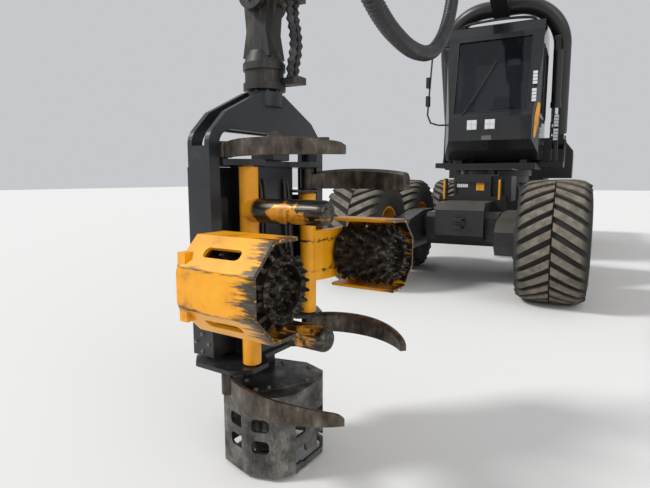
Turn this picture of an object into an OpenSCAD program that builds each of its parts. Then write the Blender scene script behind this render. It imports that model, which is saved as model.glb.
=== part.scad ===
// Eight-wheel forest harvester with an arch boom and a harvester head.
// Millimetres. X forward, Y to the left, Z up. The origin is on the ground,
// under the middle of the machine's length with its crane as parked.

/* [Wheels] */
// Tyre diameter over the lugs
tyre_d = 1340; // [1240:10:1380]
// Tyre width
tyre_w = 710; // [600:10:720]
// Height of the lugs
lug_h = 42; // [30:1:50]
// Lugs round each half of the tread
lug_count = 28; // [20:1:32]
// Width of one lug round the tyre
lug_w = 82; // [60:1:90]
// Diameter of the rim under the tyre's beads
rim_d = 673; // [620:1:700]
// Diameter of the hub spindle
spindle_d = 220; // [180:1:240]
// Distance between the tyre centres across the machine
track = 2200; // [2200:10:2400]
// Distance between the two wheels of a bogie
bogie_base = 1500; // [1460:10:1600]
// Distance from the slewing centre to the middle of each bogie
bogie_x = 2500; // [2450:10:2600]

/* [Frames] */
// Distance from the slewing centre to each steering pivot
steer_x = 950; // [930:5:980]
// Diameter of the steering pins
steer_pin_d = 110; // [90:1:130]
// Half width of the frame beams
frame_half_w = 300; // [260:5:320]
// Height of the frame beams' underside
frame_z0 = 560; // [520:5:600]
// Height of the frame beams' top
frame_z1 = 1050; // [1000:5:1080]
// Height of the slewing ring's top
ring_z = 1400; // [1395:1:1410]
// Outer diameter of the slewing ring
ring_d = 1120; // [1000:10:1200]
// Width of the front box
front_box_w = 500; // [460:10:540]
// Height of the front box's top plate
front_box_z = 1490; // [1460:5:1495]
// Distance from the slewing centre to the front box's face
front_box_x = 2100; // [2060:10:2140]
// Distance from the slewing centre to the front frame's end
front_x = 2900; // [2860:10:2950]
// Farthest reach of the rear hood from the slewing centre
rear_x = 4050; // [4000:10:4100]
// Height of the rear hood's top
hood_z = 2160; // [2100:10:2260]
// Half width of the rear hood above the wheels
hood_half_w = 1200; // [1000:10:1220]
// Thickness of the hood's plates
hood_wall = 20; // [12:1:30]
// Bore of the tow clevises
tow_bore_d = 50; // [40:1:60]

/* [Cab] */
// Width of the cab
cab_w = 1450; // [1400:10:1460]
// Height of the cab's underside
cab_z0 = 1660; // [1655:1:1680]
// Height of the cab's roof
cab_z1 = 3800; // [3700:10:3820]
// Wall thickness of the cab
cab_wall = 55; // [40:1:70]
// Thickness of the window glass
glass_t = 8; // [6:1:12]
// Clearance of a pane in its frame
pane_gap = 0.3; // [0.2:0.1:0.5]
// Width of a work lamp
lamp_w = 150; // [120:5:180]

/* [Crane] */
// Outer diameter of the arch boom's tube
arch_d = 270; // [240:5:280]
// Distance between the two legs of the arch, centre to centre
arch_w = 1900; // [1880:10:1940]
// Bend radius of the arch's tube
arch_bend = 700; // [500:10:800]
// Width of the boom box in front of the arch
boom_w = 260; // [220:5:280]
// Width of the jib's box
jib_w = 200; // [180:2:210]
// Height of the jib's box
jib_h = 230; // [210:2:250]
// Wall thickness of the jib
jib_wall = 12; // [8:1:16]
// Length of the jib from its elbow pin to its mouth
jib_len = 2500; // [2450:10:2600]
// Length of the extension inside the jib
ext_inside = 1280; // [1270:5:1290]
// Barrel diameter of the crane's cylinders
barrel_d = 150; // [120:5:160]
// Rod diameter of the crane's cylinders
rod_d = 90; // [70:1:95]
// Radial clearance of rods in barrels and pins in bores
fit_gap = 0.05; // [0.03:0.01:0.08]
// Gap between a moving eye and the ears beside it
ear_gap = 6; // [5:1:8]
// Thickness of the ears
ear_t = 20; // [16:1:25]
// Diameter of the hose loop
loop_hose_d = 110; // [90:5:120]
// Diameter of each of the two drop hoses
drop_hose_d = 40; // [36:1:46]

/* [Harvester head] */
// Direction in which the head opens, from the machine's forward direction
head_yaw = 84; // [80:1:90]
// Half width of the tilt frame
tilt_half_w = 400; // [390:5:420]
// Width of each arm of the tilt frame
tilt_arm_w = 55; // [45:5:55]
// Height of the tilt pins
tilt_z = 1000; // [980:5:1020]
// Diameter of the rotator
rotator_d = 190; // [170:5:210]
// Diameter of the feed rollers without their spikes
roller_d = 240; // [220:5:260]
// Height of the spikes
spike_h = 34; // [25:1:38]
// Length of the feed rollers
roller_len = 300; // [260:5:320]
// Diameter of the guard bars
bar_d = 100; // [80:5:100]
// Height of a delimbing knife's blade
knife_h = 100; // [80:5:100]
// Thickness of a delimbing knife's blade
knife_t = 30; // [24:1:36]
// Height of the saw box
saw_h = 380; // [340:5:380]

/* [Hidden] */
$fn = 48;

// Places in the machine, measured from the slewing centre
tip_x = 7200;
tip_z = 2450;
elbow_x = 2750;
elbow_z = 4950;
boom_pivot_x = -900;
boom_pivot_z = 2000;
crown_x = -50;
crown_z = 4220;
lift_top = [-50, 3620];
lift_foot = [-330, 2250];
lift_y = 900;
jib_base = [550, 4860];
jib_lever = [-224, 308];
roller_y = 455;
roller_x = 160;
guard_r = 180;
guard_end = roller_x + roller_len + 10;
clevis_reach = 50;
front_reach = tip_x + guard_end * cos(head_yaw) + (roller_y + guard_r) * sin(head_yaw);
slew_x = -(front_reach - rear_x - clevis_reach) / 2;

// Sizes worked out from the ones above
tyre_r = tyre_d / 2;
rim_r = rim_d / 2;
carcass_r = tyre_r - lug_h;
wheel_y = track / 2;
bead_half_w = tyre_w / 2 - 55;
bogie_y1 = wheel_y - tyre_w / 2 - 45;
bogie_y0 = bogie_y1 - 200;
disc_y = -60;
disc_t = 30;
spindle_end = disc_y + disc_t + 10;
spindle_r = spindle_d / 2;
jib_angle = atan2(elbow_z - tip_z, tip_x - elbow_x);
jib_reach = norm([tip_x - elbow_x, elbow_z - tip_z]);
arch_tilt = atan2(crown_x - boom_pivot_x, crown_z - boom_pivot_z);
arch_len = norm([crown_x - boom_pivot_x, crown_z - boom_pivot_z]);
leg_y = arch_w / 2;
eye_w = 80;
axle_half_w = bogie_y0 - 50;

cab_x0 = -700;
cab_half = cab_w / 2;
screen_foot = [900, 2320];
screen_top = [610, 3640];
door_gap = 5;
hinge_x = 160;
hinge_y = cab_half + 30;
hinge_arm = 90;
window_z0 = 2400;
window_z1 = 3560;
window_half = 560;
door_outline = [[190, 1800], [600, 1800], [670, 2000], [670, 3000], [565, 3500], [190, 3500]];
door_window = [[260, 2380], [600, 2380], [600, 2985], [505, 3430], [260, 3430]];
side_window = [[-560, 2380], [600, 2380], [600, 2985], [500, 3460], [-560, 3460]];
quarter_window = [[-590, 2380], [80, 2380], [80, 3460], [-590, 3460]];

// Cord routes, x y z from the slewing centre
loop_route = [
    [4778.1, 270, 3741.6], [4729.2, 270, 3654.6], [4700, 270, 3540], [4690, 270, 3400],
    [4700, 270, 3240], [4720, 270, 3080], [4760, 270, 2920], [4820, 270, 2770],
    [4910, 270, 2630], [5030, 270, 2500], [5180, 270, 2390], [5350, 270, 2300],
    [5540, 270, 2240], [5740, 270, 2205], [5940, 270, 2190], [6140, 270, 2195],
    [6330, 270, 2215], [6500, 270, 2255], [6640, 270, 2310], [6745, 270, 2385],
    [6813.8, 270, 2483.6], [6862.7, 270, 2570.5]
];
drop_route = [
    [7166, 130, 2110], [7166, 130, 2060], [7164, 140, 2000], [7162, 144, 1945],
    [7164, 140, 1890], [7166, 130, 1840], [7166, 130, 1795]
];

// Moves what follows from the slewing centre to the model's own origin
module machine() {
    translate([slew_x, 0, 0]) children();
}

// Puts children at the head, x towards its open side and y to its left
module at_head() {
    machine() translate([tip_x, 0, 0]) rotate([0, 0, head_yaw]) children();
}

// Mirrors children to the head's near side when side is -1
module head_side(side) {
    mirror([0, side < 0 ? 1 : 0, 0]) children();
}

// A cylinder along y, centred
module bar_y(r, length) {
    rotate([90, 0, 0]) cylinder(r = r, h = length, center = true);
}

// A side profile in x and z, from y0 to y1
module side_plate(points, y0, y1) {
    translate([0, y1, 0]) rotate([90, 0, 0]) linear_extrude(y1 - y0) polygon(points);
}

// A side plate and its mirror image on the other side
module plate_pair(points, y0, y1) {
    side_plate(points, y0, y1);
    side_plate(points, -y1, -y0);
}

// A cross section in y and z, from x0 to x1
module cross_plate(points, x0, x1) {
    translate([x0, 0, 0]) rotate([90, 0, 90]) linear_extrude(x1 - x0) polygon(points);
}

// A box between two corners
module block(a, b) {
    translate(a) cube(b - a);
}

// A round bar from one point to another
module rod_between(a, b, r) {
    v = b - a;
    translate(a) rotate([0, acos(v[2] / norm(v)), atan2(v[1], v[0])]) cylinder(r = r, h = norm(v));
}

// A bent tube through points, with ball corners
module bent_tube(points, r) {
    for (i = [0 : len(points) - 2]) rod_between(points[i], points[i + 1], r);
    for (i = [1 : len(points) - 2]) translate(points[i]) sphere(r = r * 1.08);
}

// Rings of a swept tube round a route of points
function unit(v) = v / norm(v);
function along(p, i) = unit(p[min(i + 1, len(p) - 1)] - p[max(i - 1, 0)]);
function ring(p, i, r, n, side) = [
    for (k = [0 : n - 1])
        let (t = along(p, i), u = unit(side - (side * t) * t), v = cross(t, u))
        p[i] + r * (cos(360 * k / n) * u + sin(360 * k / n) * v)
];
module swept_tube(p, r, n, side) {
    count = len(p);
    points = [for (i = [0 : count - 1]) each ring(p, i, r, n, side)];
    sides = [
        for (i = [0 : count - 2], k = [0 : n - 1])
            [i * n + k, (i + 1) * n + k, (i + 1) * n + (k + 1) % n, i * n + (k + 1) % n]
    ];
    ends = [[for (k = [0 : n - 1]) k], [for (k = [n - 1 : -1 : 0]) (count - 1) * n + k]];
    polyhedron(points = points, faces = concat(sides, ends), convexity = 6);
}

// Wheels

// The tyre's solid of revolution, with its axle along z
module tyre_envelope() {
    shoulder = tyre_w / 2 - 12;
    rotate_extrude($fn = 64)
        polygon([
            [carcass_r - 60, -shoulder], [tyre_r - 55, -shoulder], [tyre_r - 8, -shoulder + 75],
            [tyre_r, -shoulder + 190], [tyre_r, shoulder - 190], [tyre_r - 8, shoulder - 75],
            [tyre_r - 55, shoulder], [carcass_r - 60, shoulder]
        ]);
}

module tyre_carcass() {
    half = tyre_w / 2;
    rotate_extrude($fn = 64)
        polygon([
            [rim_r + pane_gap, -bead_half_w], [rim_r + 60, -bead_half_w - 30],
            [(rim_r + carcass_r) / 2, -half], [carcass_r - 50, -half + 12],
            [carcass_r - 12, -half + 70], [carcass_r, -half + 190],
            [carcass_r, half - 190], [carcass_r - 12, half - 70],
            [carcass_r - 50, half - 12], [(rim_r + carcass_r) / 2, half],
            [rim_r + 60, bead_half_w + 30], [rim_r + pane_gap, bead_half_w],
            [rim_r + pane_gap, bead_half_w - 45], [rim_r + 110, half - 75],
            [carcass_r - 60, half - 120], [carcass_r - 60, -half + 120],
            [rim_r + 110, -half + 75], [rim_r + pane_gap, -bead_half_w + 45]
        ]);
}

// One half lug, from the tread's middle to its shoulder
module half_lug(side) {
    sweep = 210;
    translate([carcass_r - 45, 0, 0])
        rotate([0, 90, 0])
            linear_extrude(lug_h + 60)
                polygon([
                    [-side * 8, -lug_w / 2], [-side * 8, lug_w / 2],
                    [-side * tyre_w / 2, lug_w / 2 + sweep], [-side * tyre_w / 2, sweep - lug_w / 2]
                ]);
}

module tyre_solid() {
    tyre_carcass();
    intersection() {
        tyre_envelope();
        for (i = [0 : lug_count - 1], side = [-1, 1])
            rotate([0, 0, (i + (side > 0 ? 0.5 : 0)) * 360 / lug_count - 90]) half_lug(side);
    }
}

module rim_solid() {
    half = bead_half_w;
    difference() {
        union() {
            rotate_extrude($fn = 64)
                polygon([
                    [rim_r, -half], [rim_r, half], [rim_r - 14, half], [rim_r - 30, half - 60],
                    [rim_r - 30, -half + 60], [rim_r - 14, -half]
                ]);
            translate([0, 0, disc_y]) cylinder(r = rim_r - 20, h = disc_t, $fn = 64);
            translate([0, 0, disc_y]) cylinder(r = 210, h = 90, $fn = 64);
            translate([0, 0, disc_y]) cylinder(r1 = 170, r2 = 150, h = 210, $fn = 64);
        }
        translate([0, 0, disc_y - 1])
            cylinder(r = spindle_r + fit_gap, h = spindle_end - disc_y + 6, $fn = 64);
        for (k = [0 : 7])
            rotate([0, 0, k * 45]) translate([rim_r - 72, 0, disc_y - 1]) cylinder(r = 26, h = disc_t + 2);
    }
}

// Puts a wheel's solid at its place: end is 1 front or -1 rear, nth the wheel, side 1 left
module at_wheel(end, nth, side) {
    x = end * bogie_x + (nth == 1 ? 1 : -1) * end * bogie_base / 2;
    machine() translate([x, side * wheel_y, tyre_r]) rotate([side > 0 ? -90 : 90, 0, 0]) children();
}

module tyre(end, nth, side) {
    color("dimgray") at_wheel(end, nth, side) rotate([0, 0, side > 0 ? 180 : 0]) tyre_solid();
}

module rim(end, nth, side) {
    color("gold") at_wheel(end, nth, side) rim_solid();
}

// The carrier

module bogie_pair(end) {
    half = bogie_base / 2;
    beam = [
        [-half - 190, 600], [-half - 60, 480], [half + 60, 480], [half + 190, 600],
        [half + 190, 760], [half + 60, 860], [250, 940], [-250, 940], [-half - 60, 860],
        [-half - 190, 760]
    ];
    machine() translate([end * bogie_x, 0, 0]) for (side = [-1, 1]) {
        side_plate(beam, side > 0 ? bogie_y0 : -bogie_y1, side > 0 ? bogie_y1 : -bogie_y0);
        translate([0, side * (axle_half_w + bogie_y0) / 2, 740])
            bar_y(170, bogie_y0 - axle_half_w);
        for (k = [-1, 1]) translate([k * half, 0, tyre_r]) {
            translate([0, side * (bogie_y1 + wheel_y + spindle_end) / 2, 0])
                bar_y(spindle_r, wheel_y + spindle_end - bogie_y1);
            translate([0, side * (bogie_y1 + 20), 0]) bar_y(230, 40);
        }
    }
}

module front_bogies() {
    color("dimgray") bogie_pair(1);
}

module rear_bogies() {
    color("dimgray") bogie_pair(-1);
}

// Ears of the middle frame at one steering pivot, with their pin
module steering_ears() {
    for (z = [[600, 680], [930, 1010]]) {
        translate([steer_x, 0, z[0]]) cylinder(r = 150, h = z[1] - z[0]);
        block([steer_x - 260, -150, z[0]], [steer_x, 150, z[1]]);
    }
    translate([steer_x, 0, 600]) cylinder(r = steer_pin_d / 2, h = 410);
}

module middle_frame() {
    color("dimgray") machine() difference() {
        union() {
            cross_plate([
                [-480, 700], [-400, 600], [400, 600], [480, 700], [480, 1180], [420, 1300],
                [-420, 1300], [-480, 1180]
            ], -steer_x + 250, steer_x - 250);
            translate([0, 0, 1290]) cylinder(r = ring_d / 2, h = ring_z - 1290, $fn = 64);
            steering_ears();
            mirror([1, 0, 0]) steering_ears();
        }
        translate([0, 0, 1310]) cylinder(r = 300, h = ring_z, $fn = 64);
    }
}

// The tongue that an end frame has round a steering pin
module steering_tongue() {
    difference() {
        union() {
            translate([steer_x, 0, 690]) cylinder(r = 150, h = 230);
            block([steer_x, -150, 690], [steer_x + 330, 150, 920]);
        }
        translate([steer_x, 0, 680]) cylinder(r = steer_pin_d / 2 + fit_gap, h = 250);
    }
}

// A frame's lower beam, from its steering tongue to its end, with its axle housing
module frame_beam(end_x) {
    steering_tongue();
    side_plate([
        [steer_x + 230, 620], [steer_x + 420, frame_z0], [end_x - 80, frame_z0], [end_x, 640],
        [end_x, 960], [end_x - 80, frame_z1], [steer_x + 420, frame_z1], [steer_x + 230, 960]
    ], -frame_half_w, frame_half_w);
    side_plate([
        [bogie_x - 250, 560], [bogie_x - 190, 500], [bogie_x + 190, 500], [bogie_x + 250, 560],
        [bogie_x + 250, 860], [bogie_x + 190, 920], [bogie_x - 190, 920], [bogie_x - 250, 860]
    ], -axle_half_w, axle_half_w);
}

module front_frame() {
    rear = steer_x + 420;
    half = front_box_w / 2;
    color("dimgray") machine() {
        frame_beam(front_x);
        block([front_box_x - 60, -axle_half_w, 880], [front_box_x, axle_half_w, 1110]);
        difference() {
            block([rear, -half, frame_z1 - 10], [front_box_x, half, 1410]);
            block([front_box_x - 30, -half + 30, 1140], [front_box_x + 1, half - 30, 1300]);
        }
        block([rear, half - 1, frame_z1 - 10], [front_box_x - 120, 500, 1390]);
        for (x = [rear, front_box_x - 160], y = [-half, half - 60])
            block([x, y, 1400], [x + 60, y + 60, front_box_z - 10]);
        block([rear, -half, front_box_z - 20], [front_box_x + 10, 510, front_box_z]);
        for (y = [-370, 370]) translate([front_box_x - 1, y, 1100]) front_handle();
    }
}

// A grab handle standing on the front box's foot plate
module front_handle() {
    for (z = [-20, 230]) translate([-20, 0, z]) rotate([0, 90, 0]) cylinder(r = 12, h = 70, $fn = 24);
    translate([50, 0, -32]) cylinder(r = 12, h = 274, $fn = 24);
    block([-58, -25, -10], [-8, 25, 255]);
}

module rear_frame() {
    color("dimgray") machine() mirror([1, 0, 0]) {
        frame_beam(rear_x - 60);
        block([steer_x + 800, -700, frame_z1 - 30], [rear_x - 60, 700, frame_z1]);
    }
}

// Two level plates on a back plate, bored for an upright pin
module tow_clevis() {
    difference() {
        for (z = [-60, 35]) translate([0, 0, z])
            linear_extrude(25) polygon([[-40, -80], [70, -50], [70, 50], [-40, 80]]);
        translate([25, 0, -100]) cylinder(r = tow_bore_d / 2, h = 200);
    }
    block([-40, -80, -60], [-20, 80, 60]);
}

module tow_clevis_front() {
    color("dimgray") machine() translate([front_x + 40, 0, 800]) tow_clevis();
}

module tow_clevis_rear() {
    color("dimgray") machine() mirror([1, 0, 0]) translate([rear_x - 20, 0, 800]) tow_clevis();
}

engine_x = [-3450, -2250];
engine_half_w = 400;
engine_top = 1850;

module engine_block() {
    color("gray") machine()
        block([engine_x[0], -engine_half_w, frame_z1], [engine_x[1], engine_half_w, engine_top]);
}

// The hood is narrow between the wheels, up to its step
hood_neck = 690;
hood_step_z = 1365;

// The hood's cross section, shrunk by one wall for its inside
function hood_section(wall) = [
    [-hood_neck + wall, frame_z1], [-hood_neck + wall, hood_step_z + wall],
    [-hood_half_w + wall, hood_step_z + wall],
    [-hood_half_w + wall, hood_z - 260], [-hood_half_w + 200 + wall / 2, hood_z - wall],
    [hood_half_w - 200 - wall / 2, hood_z - wall], [hood_half_w - wall, hood_z - 260],
    [hood_half_w - wall, hood_step_z + wall], [hood_neck - wall, hood_step_z + wall],
    [hood_neck - wall, frame_z1]
];

module rear_hood() {
    front = steer_x + 800;
    color("dimgray") machine() difference() {
        cross_plate(hood_section(0), -rear_x, -front);
        translate([0, 0, -0.1])
            cross_plate(hood_section(hood_wall), -rear_x + hood_wall, -front - hood_wall);
        for (k = [0 : 8])
            block([-rear_x - 1, -600, 1180 + k * 95], [-rear_x + hood_wall + 1, 600, 1230 + k * 95]);
        for (side = [-1, 1], k = [0 : 6])
            translate([-rear_x + 420 + k * 90, side * hood_half_w, 1560])
                translate([0, -hood_wall * 1.5, 0]) cube([45, hood_wall * 3, 300]);
    }
}

// The rotating platform

module boom_ears() {
    r = 130;
    for (y = [[leg_y - 125, leg_y - 100], [leg_y + 100, leg_y + 125]]) {
        translate([boom_pivot_x, (y[0] + y[1]) / 2, boom_pivot_z]) bar_y(r, y[1] - y[0]);
        side_plate([
            [boom_pivot_x - 180, 1560], [boom_pivot_x + 330, 1560], [boom_pivot_x + 125, boom_pivot_z + 30],
            [boom_pivot_x - 125, boom_pivot_z + 30]
        ], y[0], y[1]);
    }
    translate([boom_pivot_x, leg_y, boom_pivot_z]) bar_y(50, 270);
}

// Ears on both sides of a moving eye at a place in x and z
module ear_plates(points, y) {
    for (side = [-1, 1]) {
        inner = eye_w / 2 + ear_gap;
        side_plate(points, y + (side > 0 ? inner : -inner - ear_t), y + (side > 0 ? inner + ear_t : -inner));
    }
}

module platform() {
    x0 = boom_pivot_x - 200;
    color("dimgray") machine() {
        translate([0, 0, 1320]) cylinder(r = 300 - fit_gap, h = 100, $fn = 64);
        translate([0, 0, ring_z + 2]) cylinder(r = 600, h = 100, $fn = 64);
        block([x0 + 250, -700, 1500], [760, 700, 1600]);
        block([x0, -leg_y - 100, 1560], [x0 + 400, leg_y + 100, 1680]);
        block([x0, -690, 1530], [x0 + 300, 690, 1570]);
        for (side = [-1, 1]) {
            block([x0, side > 0 ? 690 : -leg_y - 125, 1550], [-60, side > 0 ? leg_y + 125 : -690, 1640]);
            mirror([0, side < 0 ? 1 : 0, 0]) {
                boom_ears();
                ear_plates([
                    [lift_foot[0] - 130, 1610], [lift_foot[0] + 130, 1610],
                    [lift_foot[0] + 80, lift_foot[1] + 60], [lift_foot[0] - 80, lift_foot[1] + 60]
                ], lift_y);
            }
        }
        for (x = [-560, 480], y = [-560, 460]) block([x, y, 1590], [x + 100, y + 100, cab_z0]);
    }
}

// The cab

// The cab's side profile, moved inwards by a wall
function cab_profile(wall) = [
    [cab_x0 + wall, cab_z0 + wall], [600 - wall / 2, cab_z0 + wall], [screen_foot[0] - wall, 1960],
    [screen_foot[0] - wall, screen_foot[1]], [screen_top[0] - wall, screen_top[1]],
    [screen_top[0] - 90 - wall / 2, cab_z1 - wall], [cab_x0 + 120 + wall / 2, cab_z1 - wall],
    [cab_x0 + wall, 3640]
];

// The cab seen from above, with its front corners cut
function cab_plan(wall) = [
    [cab_x0 + wall, -cab_half + wall], [690, -cab_half + wall], [925 - wall, -620 + wall / 2],
    [925 - wall, 620 - wall / 2], [690, cab_half - wall], [cab_x0 + wall, cab_half - wall]
];

module cab_volume(wall) {
    intersection() {
        side_plate(cab_profile(wall), -cab_half + wall, cab_half - wall);
        linear_extrude(5000) polygon(cab_plan(wall));
    }
}

// The windscreen's outer face at a height
screen_slope = (screen_top[0] - screen_foot[0]) / (screen_top[1] - screen_foot[1]);
function screen_x(z) = screen_foot[0] + (z - screen_foot[1]) * screen_slope;

module cab_shell() {
    color("dimgray") machine() {
        difference() {
            cab_volume(0);
            cab_volume(cab_wall);
            screen_band(-cab_wall - 60, 60, window_z0, window_z1, window_half);
            side_plate(side_window, -cab_half - 10, -cab_half + cab_wall + 10);
            side_plate(quarter_window, cab_half - cab_wall - 10, cab_half + 10);
            side_plate(door_outline, cab_half - cab_wall - 10, cab_half + 10);
            block([cab_x0 - 10, -520, 2450], [cab_x0 + cab_wall + 10, 520, 3450]);
        }
        roof_guard();
    }
}

// A slab parallel to the windscreen, from one depth to another, between two heights
module screen_band(inner, outer, z0, z1, half) {
    side_plate([
        [screen_x(z0) + inner, z0], [screen_x(z0) + outer, z0],
        [screen_x(z1) + outer, z1], [screen_x(z1) + inner, z1]
    ], -half, half);
}

module roof_guard() {
    for (y = [-560, 535]) block([cab_x0 + 250, y, cab_z1 - 10], [420, y + 25, cab_z1 + 60]);
    for (x = [-420, -170, 80, 330]) block([x, -560, cab_z1 + 35], [x + 30, 560, cab_z1 + 60]);
}

module cab_glass() {
    g = pane_gap;
    color("lightblue", 0.4) machine() {
        screen_band(-cab_wall / 2, -cab_wall / 2 + glass_t, window_z0 + g, window_z1 - g, window_half - g);
        side_plate(inset(side_window, g), -cab_half + 20, -cab_half + 20 + glass_t);
        side_plate(inset(quarter_window, g), cab_half - 20 - glass_t, cab_half - 20);
        block([cab_x0 + 20, -520 + g, 2450 + g], [cab_x0 + 20 + glass_t, 520 - g, 3450 - g]);
    }
}

// Moves the points of an outline towards its middle by about g
function inset(points, g) =
    let (mid = [for (k = [0, 1]) (max([for (p = points) p[k]]) + min([for (p = points) p[k]])) / 2])
    [for (p = points) [for (k = [0, 1]) p[k] - g * sign(p[k] - mid[k])]];

module cab_door() {
    color("dimgray") machine() {
        difference() {
            side_plate(inset(door_outline, door_gap), cab_half - 40, cab_half);
            side_plate(door_window, cab_half - 50, cab_half + 10);
        }
        for (z = [1900, 2250]) {
            translate([hinge_x, hinge_y, z]) cylinder(r = 14, h = 60, $fn = 32);
            block([hinge_x, cab_half + door_gap, z], [hinge_x + hinge_arm, hinge_y + 8, z + 60]);
            block([hinge_x + 40, cab_half - 1, z], [hinge_x + hinge_arm, cab_half + door_gap + 1, z + 60]);
        }
        side_plate([[610, 2150], [650, 2150], [650, 2290], [610, 2290]], cab_half - 1, cab_half + 22);
    }
}

module door_glass() {
    color("lightblue", 0.4) machine()
        side_plate(inset(door_window, pane_gap), cab_half - 26, cab_half - 26 + glass_t);
}

module cab_seat() {
    color("dimgray") machine() {
        block([-330, -130, cab_z0 + cab_wall], [-70, 130, cab_z0 + 330]);
        block([-420, -260, cab_z0 + 330], [130, 260, cab_z0 + 450]);
        side_plate([
            [-420, cab_z0 + 440], [-300, cab_z0 + 440], [-400, cab_z0 + 1150], [-510, cab_z0 + 1150]
        ], -240, 240);
        for (side = [-1, 1])
            block([-330, side > 0 ? 262 : -352, cab_z0 + 440], [80, side > 0 ? 352 : -262, cab_z0 + 640]);
    }
}

module cab_controls() {
    color("dimgray") machine() {
        for (side = [-1, 1]) {
            translate([50, side * 307, cab_z0 + 640]) cylinder(r1 = 45, r2 = 30, h = 60, $fn = 32);
            translate([50, side * 307, cab_z0 + 690]) cylinder(r = 22, h = 120, $fn = 32);
        }
        side_plate([[350, cab_z0 + cab_wall], [560, cab_z0 + cab_wall], [470, 1960], [400, 1960]], -240, 240);
        block([500, -500, cab_z0 + cab_wall], [560, -460, 2560]);
        block([490, -560, 2460], [520, -320, 2660]);
    }
}

// Work lamps: x, y and z of each one's back, and the angle it is turned by
lamp_table = [[926, -250, 2200, 0], [926, 25, 2200, 0]];

// A square work lamp that looks along x, with four lenses
module lamp() {
    half = lamp_w / 2;
    block([-3, -half, -half], [30, half, half]);
    for (y = [-1, 1], z = [-1, 1])
        block([29, y * half / 2 - 30, z * half / 2 - 30], [38, y * half / 2 + 30, z * half / 2 + 30]);
}

module lamps() {
    color("white") machine() for (row = lamp_table)
        translate([row[0] + 3.2, row[1], row[2]]) rotate([0, 0, row[3]]) lamp();
}

module mirror_rail() {
    r = 14;
    y = -cab_half;
    feet = [[560, y - 6, 3560], [664, y - 6, 2250]];
    color("dimgray") machine() {
        bent_tube([
            feet[0], [600, y - 140, 3520], [660, y - 270, 3350], [760, y - 300, 2420],
            [740, y - 250, 2290], [700, y - 130, 2250], feet[1]
        ], r);
        for (foot = feet) translate([foot[0], y, foot[2]]) rotate([90, 0, 0]) cylinder(r = 24, h = 12);
        for (z = [2560, 2860]) block([690, y - 330, z], [790, y - 275, z + 170]);
    }
}

// The crane

// Puts children in the arch's plane: x across the machine, y up along the legs
module arch_plane() {
    machine() translate([boom_pivot_x, 0, boom_pivot_z])
        rotate([0, arch_tilt, 0]) rotate([90, 0, 90]) children();
}

module arch_leg() {
    foot = 190;
    corner = arch_len - arch_bend;
    translate([leg_y, foot, 0]) rotate([-90, 0, 0]) cylinder(r = arch_d / 2, h = corner - foot);
    translate([leg_y - arch_bend, corner, 0])
        rotate_extrude(angle = 90) translate([arch_bend, 0]) circle(r = arch_d / 2);
}

module arch_boom() {
    r = arch_d / 2;
    color("dimgray") {
        arch_plane() {
            arch_leg();
            mirror([1, 0, 0]) arch_leg();
            translate([0, arch_len, 0]) rotate([0, 90, 0])
                cylinder(r = r, h = 2 * (leg_y - arch_bend), center = true);
        }
        machine() {
            for (side = [-1, 1]) mirror([0, side < 0 ? 1 : 0, 0]) {
                difference() {
                    union() {
                        translate([boom_pivot_x, leg_y, boom_pivot_z]) bar_y(110, 180);
                        side_plate([
                            [boom_pivot_x - 95, boom_pivot_z], [boom_pivot_x + 105, boom_pivot_z],
                            [boom_pivot_x + 150, boom_pivot_z + 320], [boom_pivot_x - 50, boom_pivot_z + 320]
                        ], leg_y - 90, leg_y + 90);
                    }
                    translate([boom_pivot_x, leg_y, boom_pivot_z]) bar_y(50 + fit_gap, 300);
                }
                lift_ears();
            }
            boom_box();
        }
    }
}

// Ears on the arch's leg for the top eye of a lift cylinder, with their pin
module lift_ears() {
    ear_plates([
        [-320, 3540], [-60, 3685], [10, 3660], [15, 3590], [-50, 3550], [-340, 3400]
    ], lift_y);
    translate([lift_top[0], lift_y, lift_top[1]]) bar_y(35, eye_w + 2 * ear_gap + 2 * ear_t);
}

// The box boom from the arch's crown to the elbow
module boom_box() {
    half = boom_w / 2;
    difference() {
        union() {
            side_plate([
                [crown_x - 60, crown_z - 60], [crown_x + 60, 4050], [250, 4130], [1250, 4430],
                [elbow_x - 150, elbow_z - 150], [elbow_x, elbow_z - 140], [elbow_x, elbow_z + 140],
                [elbow_x - 250, elbow_z + 150], [900, 4790], [100, 4560], [crown_x - 60, crown_z + 80]
            ], -half, half);
            translate([elbow_x, 0, elbow_z]) bar_y(140, boom_w);
        }
        translate([elbow_x, 0, elbow_z]) bar_y(55 + fit_gap, boom_w + 10);
    }
    ear_plates([
        [jib_base[0] - 120, 4640], [jib_base[0] + 180, 4700], [jib_base[0] + 50, jib_base[1] + 50],
        [jib_base[0] - 50, jib_base[1] + 50]
    ], 0);
    translate([jib_base[0], 0, jib_base[1]]) bar_y(35, eye_w + 2 * ear_gap + 2 * ear_t);
}

// A cylinder barrel along x from its base eye at the origin. Its neck passes between the ears
module barrel(length, bore_from) {
    neck = 170;
    difference() {
        union() {
            translate([neck, 0, 0]) rotate([0, 90, 0]) cylinder(r = barrel_d / 2, h = length - neck);
            translate([length - 90, 0, 0]) rotate([0, 90, 0]) cylinder(r = barrel_d / 2 + 10, h = 90);
            bar_y(60, eye_w);
            block([0, -eye_w / 2, -55], [neck + 20, eye_w / 2, 55]);
        }
        bar_y(35 + fit_gap, eye_w + 20);
        translate([bore_from, 0, 0]) rotate([0, 90, 0]) cylinder(r = rod_d / 2 + fit_gap, h = length);
    }
}

// A cylinder rod along x that ends in an eye at the given distance
module cylinder_rod(from, eye) {
    translate([from, 0, 0]) rotate([0, 90, 0]) cylinder(r = rod_d / 2, h = eye - from - 40);
    translate([eye, 0, 0]) bar_y(55, eye_w);
}

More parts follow.
